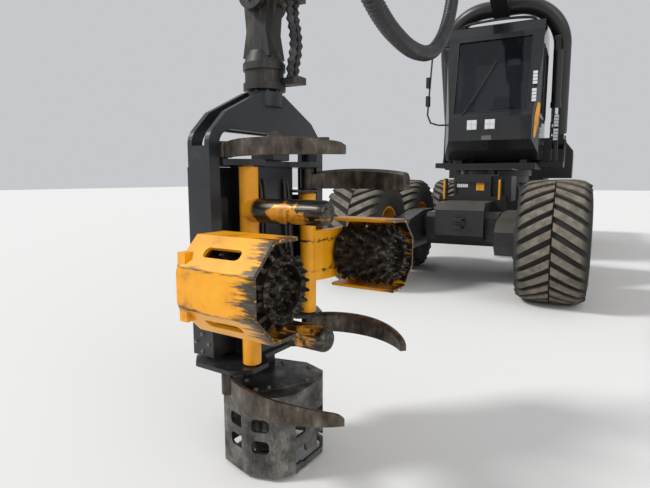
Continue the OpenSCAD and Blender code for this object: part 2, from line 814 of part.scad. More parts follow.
lift_vec = lift_foot - lift_top;
lift_len = norm(lift_vec);
jib_pin = [
    elbow_x + jib_lever[0] * cos(jib_angle) + jib_lever[1] * sin(jib_angle),
    elbow_z - jib_lever[0] * sin(jib_angle) + jib_lever[1] * cos(jib_angle)
];
jib_vec = jib_pin - jib_base;
jib_cyl_len = norm(jib_vec);

// Puts children on a cylinder's line, x from its base eye to its rod's eye
module on_cylinder(base, vec, y) {
    translate([base[0], y, base[1]]) rotate([0, -atan2(vec[1], vec[0]), 0]) children();
}

module lift_barrels() {
    color("dimgray") machine() for (side = [-1, 1])
        on_cylinder(lift_top, lift_vec, side * lift_y) barrel(1090, 330);
}

module lift_rods() {
    color("silver") machine() for (side = [-1, 1])
        on_cylinder(lift_top, lift_vec, side * lift_y) cylinder_rod(480, lift_len);
}

module jib_barrel() {
    color("dimgray") machine() on_cylinder(jib_base, jib_vec, 0) barrel(1300, 450);
}

module jib_rod() {
    color("silver") machine() on_cylinder(jib_base, jib_vec, 0) cylinder_rod(850, jib_cyl_len);
}

// Puts children on the jib's line, x from the elbow pin to the crane's tip
module on_jib() {
    machine() translate([elbow_x, 0, elbow_z]) rotate([0, jib_angle, 0]) children();
}

module jib() {
    outer_y = boom_w / 2 + 5;
    collar = 120;
    hollow = 400;
    color("dimgray") {
        on_jib() {
            difference() {
                union() {
                    block([320, -jib_w / 2, -jib_h / 2], [jib_len, jib_w / 2, jib_h / 2]);
                    block([jib_len - collar, -jib_w / 2 - 12, -jib_h / 2 - 12],
                        [jib_len, jib_w / 2 + 12, jib_h / 2 + 12]);
                    block([jib_len - 230, jib_w / 2 - 1, -60], [jib_len - 50, 340, 60]);
                }
                block([hollow, -jib_w / 2 + jib_wall, -jib_h / 2 + jib_wall],
                    [jib_len - collar, jib_w / 2 - jib_wall, jib_h / 2 - jib_wall]);
                block([hollow, -ext_w / 2 - pane_gap, -ext_h / 2 - pane_gap],
                    [jib_len + 1, ext_w / 2 + pane_gap, ext_h / 2 + pane_gap]);
            }
            plate_pair([
                [-60, -150], [330, -jib_h / 2 - 30], [620, -jib_h / 2], [620, jib_h / 2],
                [330, jib_h / 2 + 40], [40, 190], [jib_lever[0] + 70, jib_lever[1] + 50],
                [jib_lever[0] - 20, jib_lever[1] + 65], [jib_lever[0] - 70, jib_lever[1] + 10], [-150, 40],
                [-150, -60]
            ], outer_y, outer_y + 25);
            plate_pair([
                [jib_lever[0] - 30, jib_lever[1] - 60], [jib_lever[0] + 60, jib_lever[1] - 40],
                [jib_lever[0] + 55, jib_lever[1] + 40], [jib_lever[0] - 15, jib_lever[1] + 55],
                [jib_lever[0] - 58, jib_lever[1] + 5]
            ], eye_w / 2 + ear_gap, outer_y + 10);
            for (side = [-1, 1])
                block([330, side > 0 ? jib_w / 2 - 1 : -outer_y - 1, -100],
                    [600, side > 0 ? outer_y + 1 : -jib_w / 2 + 1, 100]);
            bar_y(55, 2 * outer_y + 44);
        }
    }
}

ext_w = jib_w - 2 * jib_wall - 16;
ext_h = jib_h - 2 * jib_wall - 16;

// The sliding section, with the wear pads round its inner end
module extension() {
    inner_end = jib_len - ext_inside;
    pad_len = 140;
    pad = 7.7;
    color("dimgray") on_jib() {
        difference() {
            union() {
                block([inner_end, -ext_w / 2, -ext_h / 2], [jib_reach - 180, ext_w / 2, ext_h / 2]);
                block([inner_end, -ext_w / 2 - pad, -ext_h / 2 - pad],
                    [inner_end + pad_len, ext_w / 2 + pad, ext_h / 2 + pad]);
                block([jib_reach - 440, ext_w / 2 - 1, -60], [jib_reach - 265, 340, 60]);
                plate_pair([
                    [jib_reach - 260, -ext_h / 2], [jib_reach, -75], [jib_reach + 75, 0], [jib_reach, 75],
                    [jib_reach - 260, ext_h / 2]
                ], 52, 80);
            }
            block([inner_end - 1, -ext_w / 2 + 12, -ext_h / 2 + 12],
                [jib_reach - 320, ext_w / 2 - 12, ext_h / 2 - 12]);
        }
        translate([jib_reach, 0, 0]) bar_y(35, 160);
    }
}

roll_z = 2130;

// The upper link hangs on the crane's tip and carries the cross pin
module upper_link() {
    color("dimgray") machine() translate([tip_x, 0, 0]) {
        difference() {
            union() {
                translate([0, 0, tip_z]) bar_y(70, 92);
                block([-60, -46, roll_z + 110], [60, 46, tip_z]);
                block([-100, -60, roll_z + 90], [100, 60, roll_z + 140]);
                for (x = [[-100, -72], [72, 100]]) {
                    block([x[0], -60, roll_z], [x[1], 60, roll_z + 110]);
                    translate([x[0], 0, roll_z]) rotate([0, 90, 0]) cylinder(r = 60, h = x[1] - x[0]);
                }
            }
            translate([0, 0, tip_z]) bar_y(35 + fit_gap, 200);
        }
        translate([0, 0, roll_z]) rotate([0, 90, 0]) cylinder(r = 32, h = 200, center = true);
    }
}

stator_z0 = 1742;

// The lower link with the rotator's housing
module lower_link() {
    r = rotator_d / 2;
    color("dimgray") machine() translate([tip_x, 0, 0]) {
        difference() {
            union() {
                translate([0, 0, roll_z]) rotate([0, 90, 0]) cylinder(r = 62, h = 130, center = true);
                cross_plate([
                    [-62, roll_z], [62, roll_z], [50, 1990], [70, 1880], [-70, 1880], [-50, 1990]
                ], -62, 62);
                translate([0, 0, 1850]) cylinder(r1 = r, r2 = 70, h = 60);
                translate([0, 0, stator_z0]) cylinder(r = r - 8, h = 120);
                translate([0, 0, stator_z0]) cylinder(r = r, h = 30);
                translate([0, 0, stator_z0 + 85]) cylinder(r = r, h = 30);
                block([-64, 0, 1765], [-4, 180, 1795]);
                block([-64, 40, roll_z - 20], [-4, 180, roll_z + 10]);
            }
            translate([0, 0, roll_z]) rotate([0, 90, 0]) cylinder(r = 32 + fit_gap, h = 300, center = true);
            translate([0, 0, stator_z0 - 1]) cylinder(r = 50 + fit_gap, h = 61);
        }
    }
}

module loop_hose() {
    color("dimgray") machine() swept_tube(loop_route, loop_hose_d / 2, 12, [0, 1, 0]);
}

// Two hoses side by side on one route
module drop_hose() {
    color("dimgray") for (x = [-22, 22])
        machine() translate([x, 0, 0]) swept_tube(drop_route, drop_hose_d / 2, 12, [0, 1, 0]);
}

// The harvester head

frame_front = 50;
frame_back = -70;
frame_t = 25;

// Half of the tilt frame's outline in y and z, from its top middle to its foot
tilt_outline = [
    [0, 1730], [75, 1730], [tilt_half_w - 100, 1620], [tilt_half_w, 1520], [tilt_half_w, tilt_z - 60],
    [tilt_half_w - tilt_arm_w, tilt_z - 60], [tilt_half_w - tilt_arm_w, 1512], [300, 1550], [0, 1550]
];

module tilt_frame() {
    inner = tilt_half_w - tilt_arm_w;
    pin_r = 55;
    color("dimgray") at_head() difference() {
        union() {
            for (x = [frame_front - frame_t, frame_back], side = [-1, 1])
                mirror([0, side < 0 ? 1 : 0, 0]) cross_plate(tilt_outline, x, x + frame_t);
            block([frame_back + 1, -75, 1655], [frame_front - 1, 75, 1675]);
            translate([0, 0, 1670]) cylinder(r = 80, h = 62);
            translate([0, 0, 1670]) cylinder(r = 50, h = 130);
            for (side = [-1, 1]) {
                block([frame_back + 1, side > 0 ? tilt_half_w - 25 : -tilt_half_w, tilt_z - 50],
                    [frame_front - 1, side > 0 ? tilt_half_w : -tilt_half_w + 25, 1480]);
                translate([-10, side * (inner + tilt_half_w) / 2, tilt_z]) bar_y(100, tilt_arm_w);
            }
        }
        translate([-10, 0, tilt_z]) bar_y(pin_r + fit_gap, 2 * tilt_half_w + 20);
    }
}

head_back = -200;
arm_hinge = [85, 215];
knife_hinge = [25, 297];
knife_boss_r = 34;
plate_z = [525, 545, 665, 680, 1285, 1296, 1405, 1430];

// The head's body: a back box with hinge plates that reach forward
module head_body() {
    color("dimgray") at_head() difference() {
        union() {
            block([head_back, -290, 560], [-75, 290, 1400]);
            for (side = [-1, 1])
                block([-80, side > 0 ? 255 : -290, 700], [0, side > 0 ? 290 : -255, 1270]);
            hinge_plate(plate_z[0], plate_z[1], 335);
            hinge_plate(plate_z[6], plate_z[7], 335);
            intersection() {
                union() {
                    hinge_plate(plate_z[2], plate_z[3], 335);
                    hinge_plate(plate_z[4], plate_z[5], 335);
                }
                block([-500, 120, 0], [500, 500, 2000]);
            }
            block([-80, -150, 545], [40, 150, 1405]);
            for (side = [-1, 1])
                translate([-10, side * (255 + tilt_half_w) / 2, tilt_z]) bar_y(55, tilt_half_w - 255);
            block([head_back, -120, saw_top], [-60, 120, 570]);
        }
        for (side = [-1, 1]) {
            translate([arm_hinge[0], side * arm_hinge[1], 0]) cylinder(r = 25 + fit_gap, h = 2000);
            translate([knife_hinge[0], side * knife_hinge[1], 0]) cylinder(r = 18 + fit_gap, h = 2000);
        }
    }
}

module hinge_plate(z0, z1, half) {
    translate([0, 0, z0]) linear_extrude(z1 - z0)
        polygon([
            [head_back, -half + 60], [head_back + 60, -half], [60, -half], [135, -half + 70], [135, -165],
            [60, -100], [60, 100], [135, 165], [135, half - 70], [60, half], [head_back + 60, half],
            [head_back, half - 60]
        ]);
}

bar_z = [725, 1220];
roller_z = 970;

// A feed arm with its hinge column, arm box and roller guard, on the left side
module feed_arm_solid(z0, z1, pin_z0, pin_z1) {
    col = arm_hinge;
    translate([col[0], col[1], z0]) cylinder(r = 40, h = z1 - z0);
    translate([col[0], col[1], pin_z0]) cylinder(r = 25, h = pin_z1 - pin_z0);
    translate([0, 0, roller_z - 125]) linear_extrude(250)
        polygon([
            [60, 190], [115, 190], [140, 270], [150, 330], [150, 625], [112, 625], [112, 330], [85, 260]
        ]);
    translate([112, roller_y, roller_z]) rotate([90, 0, 90]) difference() {
        linear_extrude(guard_end - 112) guard_section(guard_r);
        translate([0, 0, -1]) linear_extrude(guard_end - 100) guard_section(guard_r - 14);
        for (s = [-1, 1]) rotate([0, 0, s * 45]) translate([guard_r - 30, -22, 90]) cube([60, 44, 170]);
    }
    translate([130, roller_y, roller_z]) rotate([0, 90, 0]) cylinder(r = 45, h = 90);
}

// Half an octagon, open towards the stem
module guard_section(r) {
    c = r * tan(22.5);
    polygon([[-60, -r], [c, -r], [r, -c], [r, c], [c, r], [-60, r], [-60, r - 14.1], [-60, -r + 14.1]]);
}

module feed_arm_near() {
    color("gold") at_head() head_side(-1) {
        feed_arm_solid(552, 1399, plate_z[0], plate_z[7]);
        for (z = bar_z) translate([arm_hinge[0], arm_hinge[1], z])
            rotate([0, 90, 0]) cylinder(r = bar_d / 2, h = 405);
    }
}

module feed_arm_far() {
    color("gold") at_head() head_side(1) feed_arm_solid(686, 1279, plate_z[2], plate_z[5]);
}

// A spiked roller with its axis along x
module roller_solid() {
    r = roller_d / 2;
    rows = 5;
    around = 14;
    translate([roller_x, roller_y, roller_z]) rotate([0, 90, 0]) difference() {
        union() {
            cylinder(r = r, h = roller_len, $fn = 64);
            for (row = [0 : rows - 1], k = [0 : around - 1])
                rotate([0, 0, (k + row / 2) * 360 / around])
                    translate([r - 4, 8, (row + 0.5) * roller_len / rows])
                        rotate([90, 0, 0]) linear_extrude(16)
                            polygon([[0, -22], [spike_h + 4, -5], [spike_h + 4, 5], [0, 22]]);
        }
        translate([0, 0, -1]) cylinder(r = 45 + fit_gap, h = 66);
        translate([0, 0, roller_len - 40]) cylinder(r = r - 30, h = 60);
    }
}

module roller_near() {
    color("gray") at_head() head_side(-1) roller_solid();
}

module roller_far() {
    color("gray") at_head() head_side(1) roller_solid();
}

// A delimbing knife on the left side: a curved blade with its hinge boss
module knife_solid(z, h, pin_z0, pin_z1) {
    mid = [300, -15];
    bend = 403;
    translate([knife_hinge[0], knife_hinge[1], z]) cylinder(r = knife_boss_r, h = h);
    translate([knife_hinge[0], knife_hinge[1], pin_z0]) cylinder(r = 18, h = pin_z1 - pin_z0);
    translate([0, 0, z]) intersection() {
        translate([mid[0], mid[1], 0]) difference() {
            cylinder(r = bend + knife_t / 2, h = h, $fn = 96);
            translate([0, 0, -1]) cylinder(r = bend - knife_t / 2, h = h + 2, $fn = 96);
        }
        linear_extrude(h)
            polygon([
                [knife_hinge[0], 240], [585, 240], [585, 460], [60, 460], [60, 360], [knife_hinge[0], 330]
            ]);
    }
}

module knife_upper_near() {
    color("silver") at_head() head_side(-1) knife_solid(1436, 64, plate_z[6], 1436);
}

module knife_upper_far() {
    color("silver") at_head() head_side(1) knife_solid(1301, knife_h, plate_z[4], plate_z[7]);
}

module knife_lower_near() {
    color("silver") at_head() head_side(-1) knife_solid(plate_z[0] - 5 - 90, 90, 430, plate_z[1]);
}

module knife_lower_far() {
    color("silver") at_head() head_side(1) knife_solid(554, knife_h, plate_z[0], plate_z[3]);
}

saw_z0 = 20;
saw_top = saw_z0 + saw_h;
saw_wall = 12;
saw_plan = [
    [-130, -190], [60, -235], [190, -190], [240, -110], [240, 110], [190, 190], [60, 235], [-130, 190]
];
saw_pivot = [50, -90];
bar_slot_z = [50, 90];

module saw_box() {
    color("gray") at_head() {
        difference() {
            translate([0, 0, saw_z0]) linear_extrude(saw_h) polygon(saw_plan);
            translate([0, 0, saw_z0 - 1])
                linear_extrude(saw_h - saw_wall + 1) polygon(inset(saw_plan, saw_wall));
            for (y = [-110, 60], z = [60, 190]) block([200, y, z], [300, y + 80, z + 75]);
            for (x = [-60, 80], z = [130, 230]) block([x, -260, z], [x + 80, -150, z + 60]);
            translate([saw_pivot[0], saw_pivot[1], bar_slot_z[0]])
                linear_extrude(bar_slot_z[1] - bar_slot_z[0]) polygon([
                    [0, 0], [700 * cos(10), 700 * sin(10)], [700, 700], [-700, 700],
                    [-700, 0], [700 * cos(200), 700 * sin(200)]
                ]);
        }
        difference() {
            translate([saw_pivot[0], saw_pivot[1], 96]) cylinder(r = 60, h = saw_top - 100);
            translate([saw_pivot[0], saw_pivot[1], 90]) cylinder(r = 25 + fit_gap, h = 60);
        }
    }
}

module saw_bar() {
    color("silver") at_head() translate([saw_pivot[0], saw_pivot[1], 64]) rotate([0, 0, 150]) {
        cylinder(r = 50, h = 12);
        block([0, -38, 0], [500, 38, 12]);
        translate([500, 0, 0]) cylinder(r = 38, h = 12);
        cylinder(r = 25, h = 80);
    }
}

middle_frame();
front_frame();
rear_frame();
front_bogies();
rear_bogies();
tyre(1, 1, 1);  // tyre_front_1_left
tyre(1, 1, -1);  // tyre_front_1_right
tyre(1, 2, 1);  // tyre_front_2_left
tyre(1, 2, -1);  // tyre_front_2_right
tyre(-1, 1, 1);  // tyre_rear_1_left
tyre(-1, 1, -1);  // tyre_rear_1_right
tyre(-1, 2, 1);  // tyre_rear_2_left
tyre(-1, 2, -1);  // tyre_rear_2_right
rim(1, 1, 1);  // rim_front_1_left
rim(1, 1, -1);  // rim_front_1_right
rim(1, 2, 1);  // rim_front_2_left
rim(1, 2, -1);  // rim_front_2_right
rim(-1, 1, 1);  // rim_rear_1_left
rim(-1, 1, -1);  // rim_rear_1_right
rim(-1, 2, 1);  // rim_rear_2_left
rim(-1, 2, -1);  // rim_rear_2_right
engine_block();
rear_hood();
tow_clevis_front();
tow_clevis_rear();
platform();
cab_shell();
cab_glass();
cab_door();
door_glass();
cab_seat();
cab_controls();
lamps();
mirror_rail();
arch_boom();
lift_barrels();
lift_rods();
jib();
jib_barrel();
jib_rod();
extension();
upper_link();
lower_link();
loop_hose();
drop_hose();
tilt_frame();
head_body();
saw_box();
saw_bar();
feed_arm_near();
feed_arm_far();
roller_near();
roller_far();
knife_upper_near();
knife_upper_far();
knife_lower_near();
knife_lower_far();
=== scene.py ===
import math

import bmesh
import bpy
from mathutils import Matrix, Vector


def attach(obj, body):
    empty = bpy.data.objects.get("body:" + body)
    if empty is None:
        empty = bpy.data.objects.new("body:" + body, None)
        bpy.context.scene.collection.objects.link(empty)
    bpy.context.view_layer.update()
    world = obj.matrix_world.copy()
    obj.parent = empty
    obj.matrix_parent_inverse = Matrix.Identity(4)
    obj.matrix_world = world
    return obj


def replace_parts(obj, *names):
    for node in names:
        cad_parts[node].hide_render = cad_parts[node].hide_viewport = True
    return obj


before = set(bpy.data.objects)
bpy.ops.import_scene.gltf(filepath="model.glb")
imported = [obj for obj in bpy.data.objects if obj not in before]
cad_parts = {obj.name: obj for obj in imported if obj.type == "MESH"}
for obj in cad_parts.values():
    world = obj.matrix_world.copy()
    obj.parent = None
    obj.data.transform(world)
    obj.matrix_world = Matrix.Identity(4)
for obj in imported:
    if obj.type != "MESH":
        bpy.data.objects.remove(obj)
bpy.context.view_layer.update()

# Viewpoint
# The photograph looks back along the crane from beside the harvester head, at eye
# height, with a moderately wide lens and a slight look down. The sizes of cab and
# crane are measured from the slewing centre, whose place in the frame is SLEW_X.
SLEW_X = -1.8903
eye = Vector((9.11 + SLEW_X, 1.28, 1.35))
focal_pixels = 488
picture_wide = 650
sensor_wide = 36
look_down = math.radians(7.6)
level_look = Vector((-0.891, -0.454, 0)).normalized()
look = level_look * math.cos(look_down) - Vector((0, 0, math.sin(look_down)))
to_right = look.cross(Vector((0, 0, 1))).normalized()
to_top = to_right.cross(look)
camera_data = bpy.data.cameras.new("photo_camera")
camera_data.sensor_width = sensor_wide
camera_data.lens = focal_pixels / picture_wide * sensor_wide
camera_data.clip_start = 0.05
camera_data.clip_end = 200
camera = bpy.data.objects.new("photo_camera", camera_data)
bpy.context.scene.collection.objects.link(camera)
camera.matrix_world = Matrix.Translation(eye) @ Matrix((
    (to_right.x, to_top.x, -look.x, 0), (to_right.y, to_top.y, -look.y, 0),
    (to_right.z, to_top.z, -look.z, 0), (0, 0, 0, 1)))
bpy.context.scene.camera = camera

# Hose loop
# A bundle of hydraulic hoses in a black spiral guard. It hangs in a loop from the
# jib's clamp to the extension's tip, so it can pay out as the extension slides.


def hex_colour(code):
    """An sRGB hex value as a linear colour."""
    channels = [int(code[k:k + 2], 16) / 255 for k in (1, 3, 5)]
    return (*[c / 12.92 if c <= 0.04045 else ((c + 0.055) / 1.055) ** 2.4 for c in channels], 1)


def link_up(material, sources, inputs):
    """Links each source, a socket or a node's first output, to an input."""
    for socket, source in sources.items():
        if isinstance(source, bpy.types.Node):
            source = source.outputs[0]
        material.node_tree.links.new(source, inputs[socket])


def add_node(material, kind, values=(), links=(), **settings):
    """Adds one shader node with its settings, its fixed values and its links."""
    made = material.node_tree.nodes.new(kind)
    for name, value in settings.items():
        setattr(made, name, value)
    for socket, value in dict(values).items():
        made.inputs[socket].default_value = value
    link_up(material, dict(links), made.inputs)
    return made


def add_noise(material, place, scale, detail, roughness=0.5):
    """Noise over a place, its scale in patches per metre."""
    return add_node(material, "ShaderNodeTexNoise",
                    {"Scale": scale, "Detail": detail, "Roughness": roughness}, {"Vector": place})


def add_ramp(material, factor, *stops):
    """A colour ramp over a factor; each stop is a place on it and a colour."""
    ramp = add_node(material, "ShaderNodeValToRGB", links={"Fac": factor})
    elements = ramp.color_ramp.elements
    for index, (place, code) in enumerate(stops):
        stop = elements[index] if index < 2 else elements.new(place)
        stop.position = place
        stop.color = hex_colour(code)
    return ramp


def add_bump(material, height, strength, distance):
    """A bump that follows a height, which counts for a distance in metres."""
    return add_node(material, "ShaderNodeBump", {"Strength": strength, "Distance": distance},
                    {"Height": height})


def start_material(name, **sockets):
    """A node material, its shader with its unlinked sockets set, and the Object coordinates."""
    material = bpy.data.materials.new(name)
    material.use_nodes = True
    shader = material.node_tree.nodes["Principled BSDF"]
    for socket, value in sockets.items():
        shader.inputs[socket.replace("_", " ")].default_value = value
    return material, shader, add_node(material, "ShaderNodeTexCoord").outputs["Object"]


def feed(material, shader, **sources):
    """Links sources to the shader's sockets by name."""
    named = {socket.replace("_", " "): source for socket, source in sources.items()}
    link_up(material, named, shader.inputs)


def smooth_run(points, step):
    """Places about a step apart on a smooth line through points."""
    places = [Vector(p) for p in points]
    ahead = [2 * places[0] - places[1]] + places + [2 * places[-1] - places[-2]]
    run = [places[0]]
    for a, b, c, d in zip(ahead, ahead[1:], ahead[2:], ahead[3:]):
        parts = max(1, round((c - b).length / step))
        for k in range(1, parts + 1):
            t = k / parts
            run.append(0.5 * (2 * b + (c - a) * t + (2 * a - 5 * b + 4 * c - d) * t * t
                              + (3 * b - a - 3 * c + d) * t ** 3))
    return run


def pipe_curve(name, run, radius, rings, closed=False):
    """A curve with a round section through places measured from the slewing centre."""
    curve = bpy.data.curves.new(name, "CURVE")
    curve.dimensions = "3D"
    curve.bevel_depth = radius
    curve.bevel_resolution = rings
    curve.use_fill_caps = True
    spline = curve.splines.new("POLY")
    spline.use_cyclic_u = closed
    spline.points.add(len(run) - 1)
    for point, place in zip(spline.points, run):
        point.co = (place.x + SLEW_X, place.y, place.z, 1)
    piece = bpy.data.objects.new(name, curve)
    bpy.context.scene.collection.objects.link(piece)
    return piece


def ribbed_hose(name, points, radius, pitch, depth):
    """A hose as one open curve whose radius swells and shrinks at every turn of its guard."""
    swells = (1, 1 - depth / 2, 1 - depth, 1 - depth / 2)
    run = smooth_run(points, pitch / len(swells))
    piece = pipe_curve(name, run, radius, rings=4)
    for index, point in enumerate(piece.data.splines[0].points):
        point.radius = swells[index % len(swells)]
    length = sum((b - a).length for a, b in zip(run, run[1:]))
    return piece, length


loop_points = [
    (4.7781, 0.27, 3.7416), (4.7292, 0.27, 3.6546), (4.7, 0.27, 3.54), (4.69, 0.27, 3.4),
    (4.7, 0.27, 3.24), (4.72, 0.27, 3.08), (4.76, 0.27, 2.92), (4.82, 0.27, 2.77),
    (4.91, 0.27, 2.63), (5.03, 0.27, 2.5), (5.18, 0.27, 2.39), (5.35, 0.27, 2.3),
    (5.54, 0.27, 2.24), (5.74, 0.27, 2.205), (5.94, 0.27, 2.19), (6.14, 0.27, 2.195),
    (6.33, 0.27, 2.215), (6.5, 0.27, 2.255), (6.64, 0.27, 2.31), (6.745, 0.27, 2.385),
    (6.8138, 0.27, 2.4836), (6.8627, 0.27, 2.5705),
]
loop_hose, loop_length = ribbed_hose("hose_loop", loop_points, radius=0.055, pitch=0.032, depth=0.1)
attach(loop_hose, "jib")
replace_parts(loop_hose, "loop_hose")

# Nitrile rubber under a moulded polyamide spiral: near black, a soft sheen, dust in
# the folds. A noise scale counts patches in a metre, so 14 makes them 70 mm wide.
guard_black, shader, spot = start_material("polyamide_hose_guard_black", Roughness=0.42)
dust = add_noise(guard_black, spot, scale=14, detail=6)
tone = add_ramp(guard_black, dust, (0.3, "#131315"), (0.6, "#202124"), (0.8, "#48443d"))
feed(guard_black, shader, Base_Color=tone)
loop_hose.data.materials.append(guard_black)

# Drop hoses
# Two hoses down to the rotator, each inside a chain of rubber beads that take the
# knocks of the trees. They hang from the link's bracket to the rotator's ports.
drop_points = [
    (7.166, 0.13, 2.11), (7.166, 0.13, 2.06), (7.164, 0.14, 2.0), (7.162, 0.144, 1.945),
    (7.164, 0.14, 1.89), (7.166, 0.13, 1.84), (7.166, 0.13, 1.795),
]
for strand, aside in (("drop_hose_left", 0.022), ("drop_hose_right", -0.022)):
    strand_points = [(x + aside, y, z) for x, y, z in drop_points]
    drop_hose, drop_length = ribbed_hose(strand, strand_points, radius=0.02, pitch=0.034, depth=0.4)
    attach(drop_hose, "lower_link")
    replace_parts(drop_hose, "drop_hose")
    drop_hose.data.materials.append(guard_black)

# Tyres
# Flotation tyres of 710 mm, with chevron lugs moulded in black rubber. The lugs' tops
# are rubbed pale by dry gravel, and the grooves and walls stay darker. The rubber's
# grain of 6 mm is drawn coarser than the real one, so that it shows.
AXLE_Z = 0.67
axles = {"front_1": 3.25, "front_2": 1.75, "rear_1": -3.25, "rear_2": -1.75}
groove_radius = 0.628
lug_radius = 0.668


def dress(material, *nodes):
    """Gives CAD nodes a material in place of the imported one."""
    for name in nodes:
        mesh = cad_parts[name].data
        mesh.materials.clear()
        mesh.materials.append(material)


for axle_name, axle_x in axles.items():
    rubber, shader, spot = start_material("tyre_rubber_" + axle_name, Roughness=0.85)
    moved = add_node(rubber, "ShaderNodeVectorMath", {1: (axle_x + SLEW_X, 0, AXLE_Z)}, {0: spot},
                     operation="SUBTRACT")
    flat = add_node(rubber, "ShaderNodeVectorMath", {1: (1, 0, 1)}, {0: moved}, operation="MULTIPLY")
    radius = add_node(rubber, "ShaderNodeVectorMath", links={0: flat}, operation="LENGTH")
    height = add_node(rubber, "ShaderNodeMapRange", {"From Min": groove_radius, "From Max": lug_radius},
                      {"Value": radius.outputs["Value"]})
    blotch = add_noise(rubber, spot, scale=11, detail=8, roughness=0.65)
    spread = add_node(rubber, "ShaderNodeMath", {1: 0.55}, {0: blotch}, operation="MULTIPLY")
    dusty = add_node(rubber, "ShaderNodeMath", {2: 0.08}, {0: height, 1: spread},
                     operation="MULTIPLY_ADD")
    tone = add_ramp(rubber, dusty, (0.08, "#2c2a28"), (0.3, "#5f594f"), (0.55, "#968c7c"))
    grain = add_noise(rubber, spot, scale=160, detail=3)
    bump = add_bump(rubber, blotch, strength=0.35, distance=0.004)
    fine = add_node(rubber, "ShaderNodeBump", {"Strength": 0.25, "Distance": 0.001},
                    {"Height": grain, "Normal": bump})
    feed(rubber, shader, Base_Color=tone, Normal=fine)
    dress(rubber, "tyre_%s_left" % axle_name, "tyre_%s_right" % axle_name)

# Rims
# Pressed and welded steel rims, bolted to the hubs and powder coated in an even, half
# gloss yellow, with blotches of dried mud.
rim_yellow, shader, spot = start_material("powder_coat_yellow_on_rims", Roughness=0.42)
mud = add_noise(rim_yellow, spot, scale=6, detail=9, roughness=0.7)
tone = add_ramp(rim_yellow, mud, (0.3, "#f4a91a"), (0.54, "#e39a18"), (0.68, "#8a6c3c"))
bump = add_bump(rim_yellow, mud, strength=0.12, distance=0.002)
feed(rim_yellow, shader, Base_Color=tone, Normal=bump)
dress(rim_yellow, *["rim_%s_%s" % (axle_name, side) for axle_name in axles for side in ("left", "right")])

# Wheel nuts
# Ten zinc-plated nuts hold each rim on its hub and eight bolts hold the hub's cap.
# They are dull grey, with rust where the washers trap water.
zinc_plate, shader, spot = start_material("zinc_plate_on_fasteners", Metallic=0.9)
rust = add_noise(zinc_plate, spot, scale=90, detail=5)
tone = add_ramp(zinc_plate, rust, (0.4, "#6f6d69"), (0.6, "#8c8983"), (0.74, "#6a4a33"))
sheen = add_node(zinc_plate, "ShaderNodeMapRange", {"To Min": 0.3, "To Max": 0.7}, {"Value": rust})
feed(zinc_plate, shader, Base_Color=tone, Roughness=sheen)


def made_piece(name, shape, material, body, smooth=False):
    """Turns a bmesh into an object that rides on a body."""
    bmesh.ops.recalc_face_normals(shape, faces=shape.faces)
    for face in shape.faces:
        face.smooth = smooth
    data = bpy.data.meshes.new(name)
    shape.to_mesh(data)
    shape.free()
    data.materials.append(material)
    piece = bpy.data.objects.new(name, data)
    bpy.context.scene.collection.objects.link(piece)
    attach(piece, body)
    return piece


def bolt_circle(shape, middle, way, radius, count, size):
    """Hexagon heads on washers, in a circle on a surface that faces a way; size is half a head."""
    stand = Matrix.Translation(middle) @ Vector(way).to_track_quat("Z", "Y").to_matrix().to_4x4()
    washer_high, head_high = size * 0.2, size * 0.7
    for k in range(count):
        turn = stand @ Matrix.Rotation(math.tau * k / count, 4, "Z") @ Matrix.Translation((radius, 0, 0))
        bmesh.ops.create_cone(shape, cap_ends=True, segments=14, radius1=size * 1.15, radius2=size * 1.1,
                              depth=washer_high, matrix=turn @ Matrix.Translation((0, 0, washer_high / 2)))
        bmesh.ops.create_cone(
            shape, cap_ends=True, segments=6, radius1=size * 0.9, radius2=size * 0.84, depth=head_high,
            matrix=turn @ Matrix.Translation((0, 0, washer_high + head_high / 2)))


disc_y = 1.13
hub_cap_y = 1.25
for axle_name, axle_x in axles.items():
    for side_name, side in (("left", 1), ("right", -1)):
        shape = bmesh.new()
        for y, radius, count, size in ((disc_y, 0.19, 10, 0.017), (hub_cap_y, 0.115, 8, 0.011)):
            bolt_circle(shape, (axle_x + SLEW_X, side * y, AXLE_Z), (0, side, 0), radius, count, size)
        wheel = "%s_%s" % (axle_name, side_name)
        made_piece("wheel_nuts_" + wheel, shape, zinc_plate, "wheel_" + wheel)

# Frames, bogies, hood, platform and crane
# Welded plate sprayed with black two-pack enamel. Sawdust and road dust lie on the
# upper faces, and rubbed places show a little grey.
black_enamel, shader, spot = start_material("black_enamel_on_plate")
cloud = add_noise(black_enamel, spot, scale=1.7, detail=7, roughness=0.62)
grit = add_noise(black_enamel, spot, scale=38, detail=6, roughness=0.7)
tone = add_ramp(black_enamel, grit, (0.32, "#121316"), (0.58, "#1b1c1f"), (0.76, "#36352f"))
facing = add_node(black_enamel, "ShaderNodeTexCoord")
upward = add_node(black_enamel, "ShaderNodeSeparateXYZ", links={"Vector": facing.outputs["Normal"]})
level = add_node(black_enamel, "ShaderNodeMapRange", {"From Min": 0.2, "From Max": 1.0, "To Max": 0.6},
                 {"Value": upward.outputs["Z"]})
settled = add_node(black_enamel, "ShaderNodeMath", links={0: cloud, 1: level}, values={2: 0.02},
                   operation="MULTIPLY_ADD")
dusted = add_node(black_enamel, "ShaderNodeMix", {7: hex_colour("#8d8475")}, {0: settled, 6: tone},
                  data_type="RGBA")
sheen = add_node(black_enamel, "ShaderNodeMapRange", {"To Min": 0.2, "To Max": 0.55}, {"Value": cloud})
bump = add_bump(black_enamel, grit, strength=0.08, distance=0.001)
feed(black_enamel, shader, Base_Color=dusted.outputs[2], Roughness=sheen, Normal=bump)
dress(black_enamel, "middle_frame", "front_frame", "rear_frame", "front_bogies", "rear_bogies", "rear_hood",
      "tow_clevis_front", "tow_clevis_rear", "platform", "mirror_rail", "arch_boom",
      "lift_barrels", "jib", "jib_barrel", "extension")

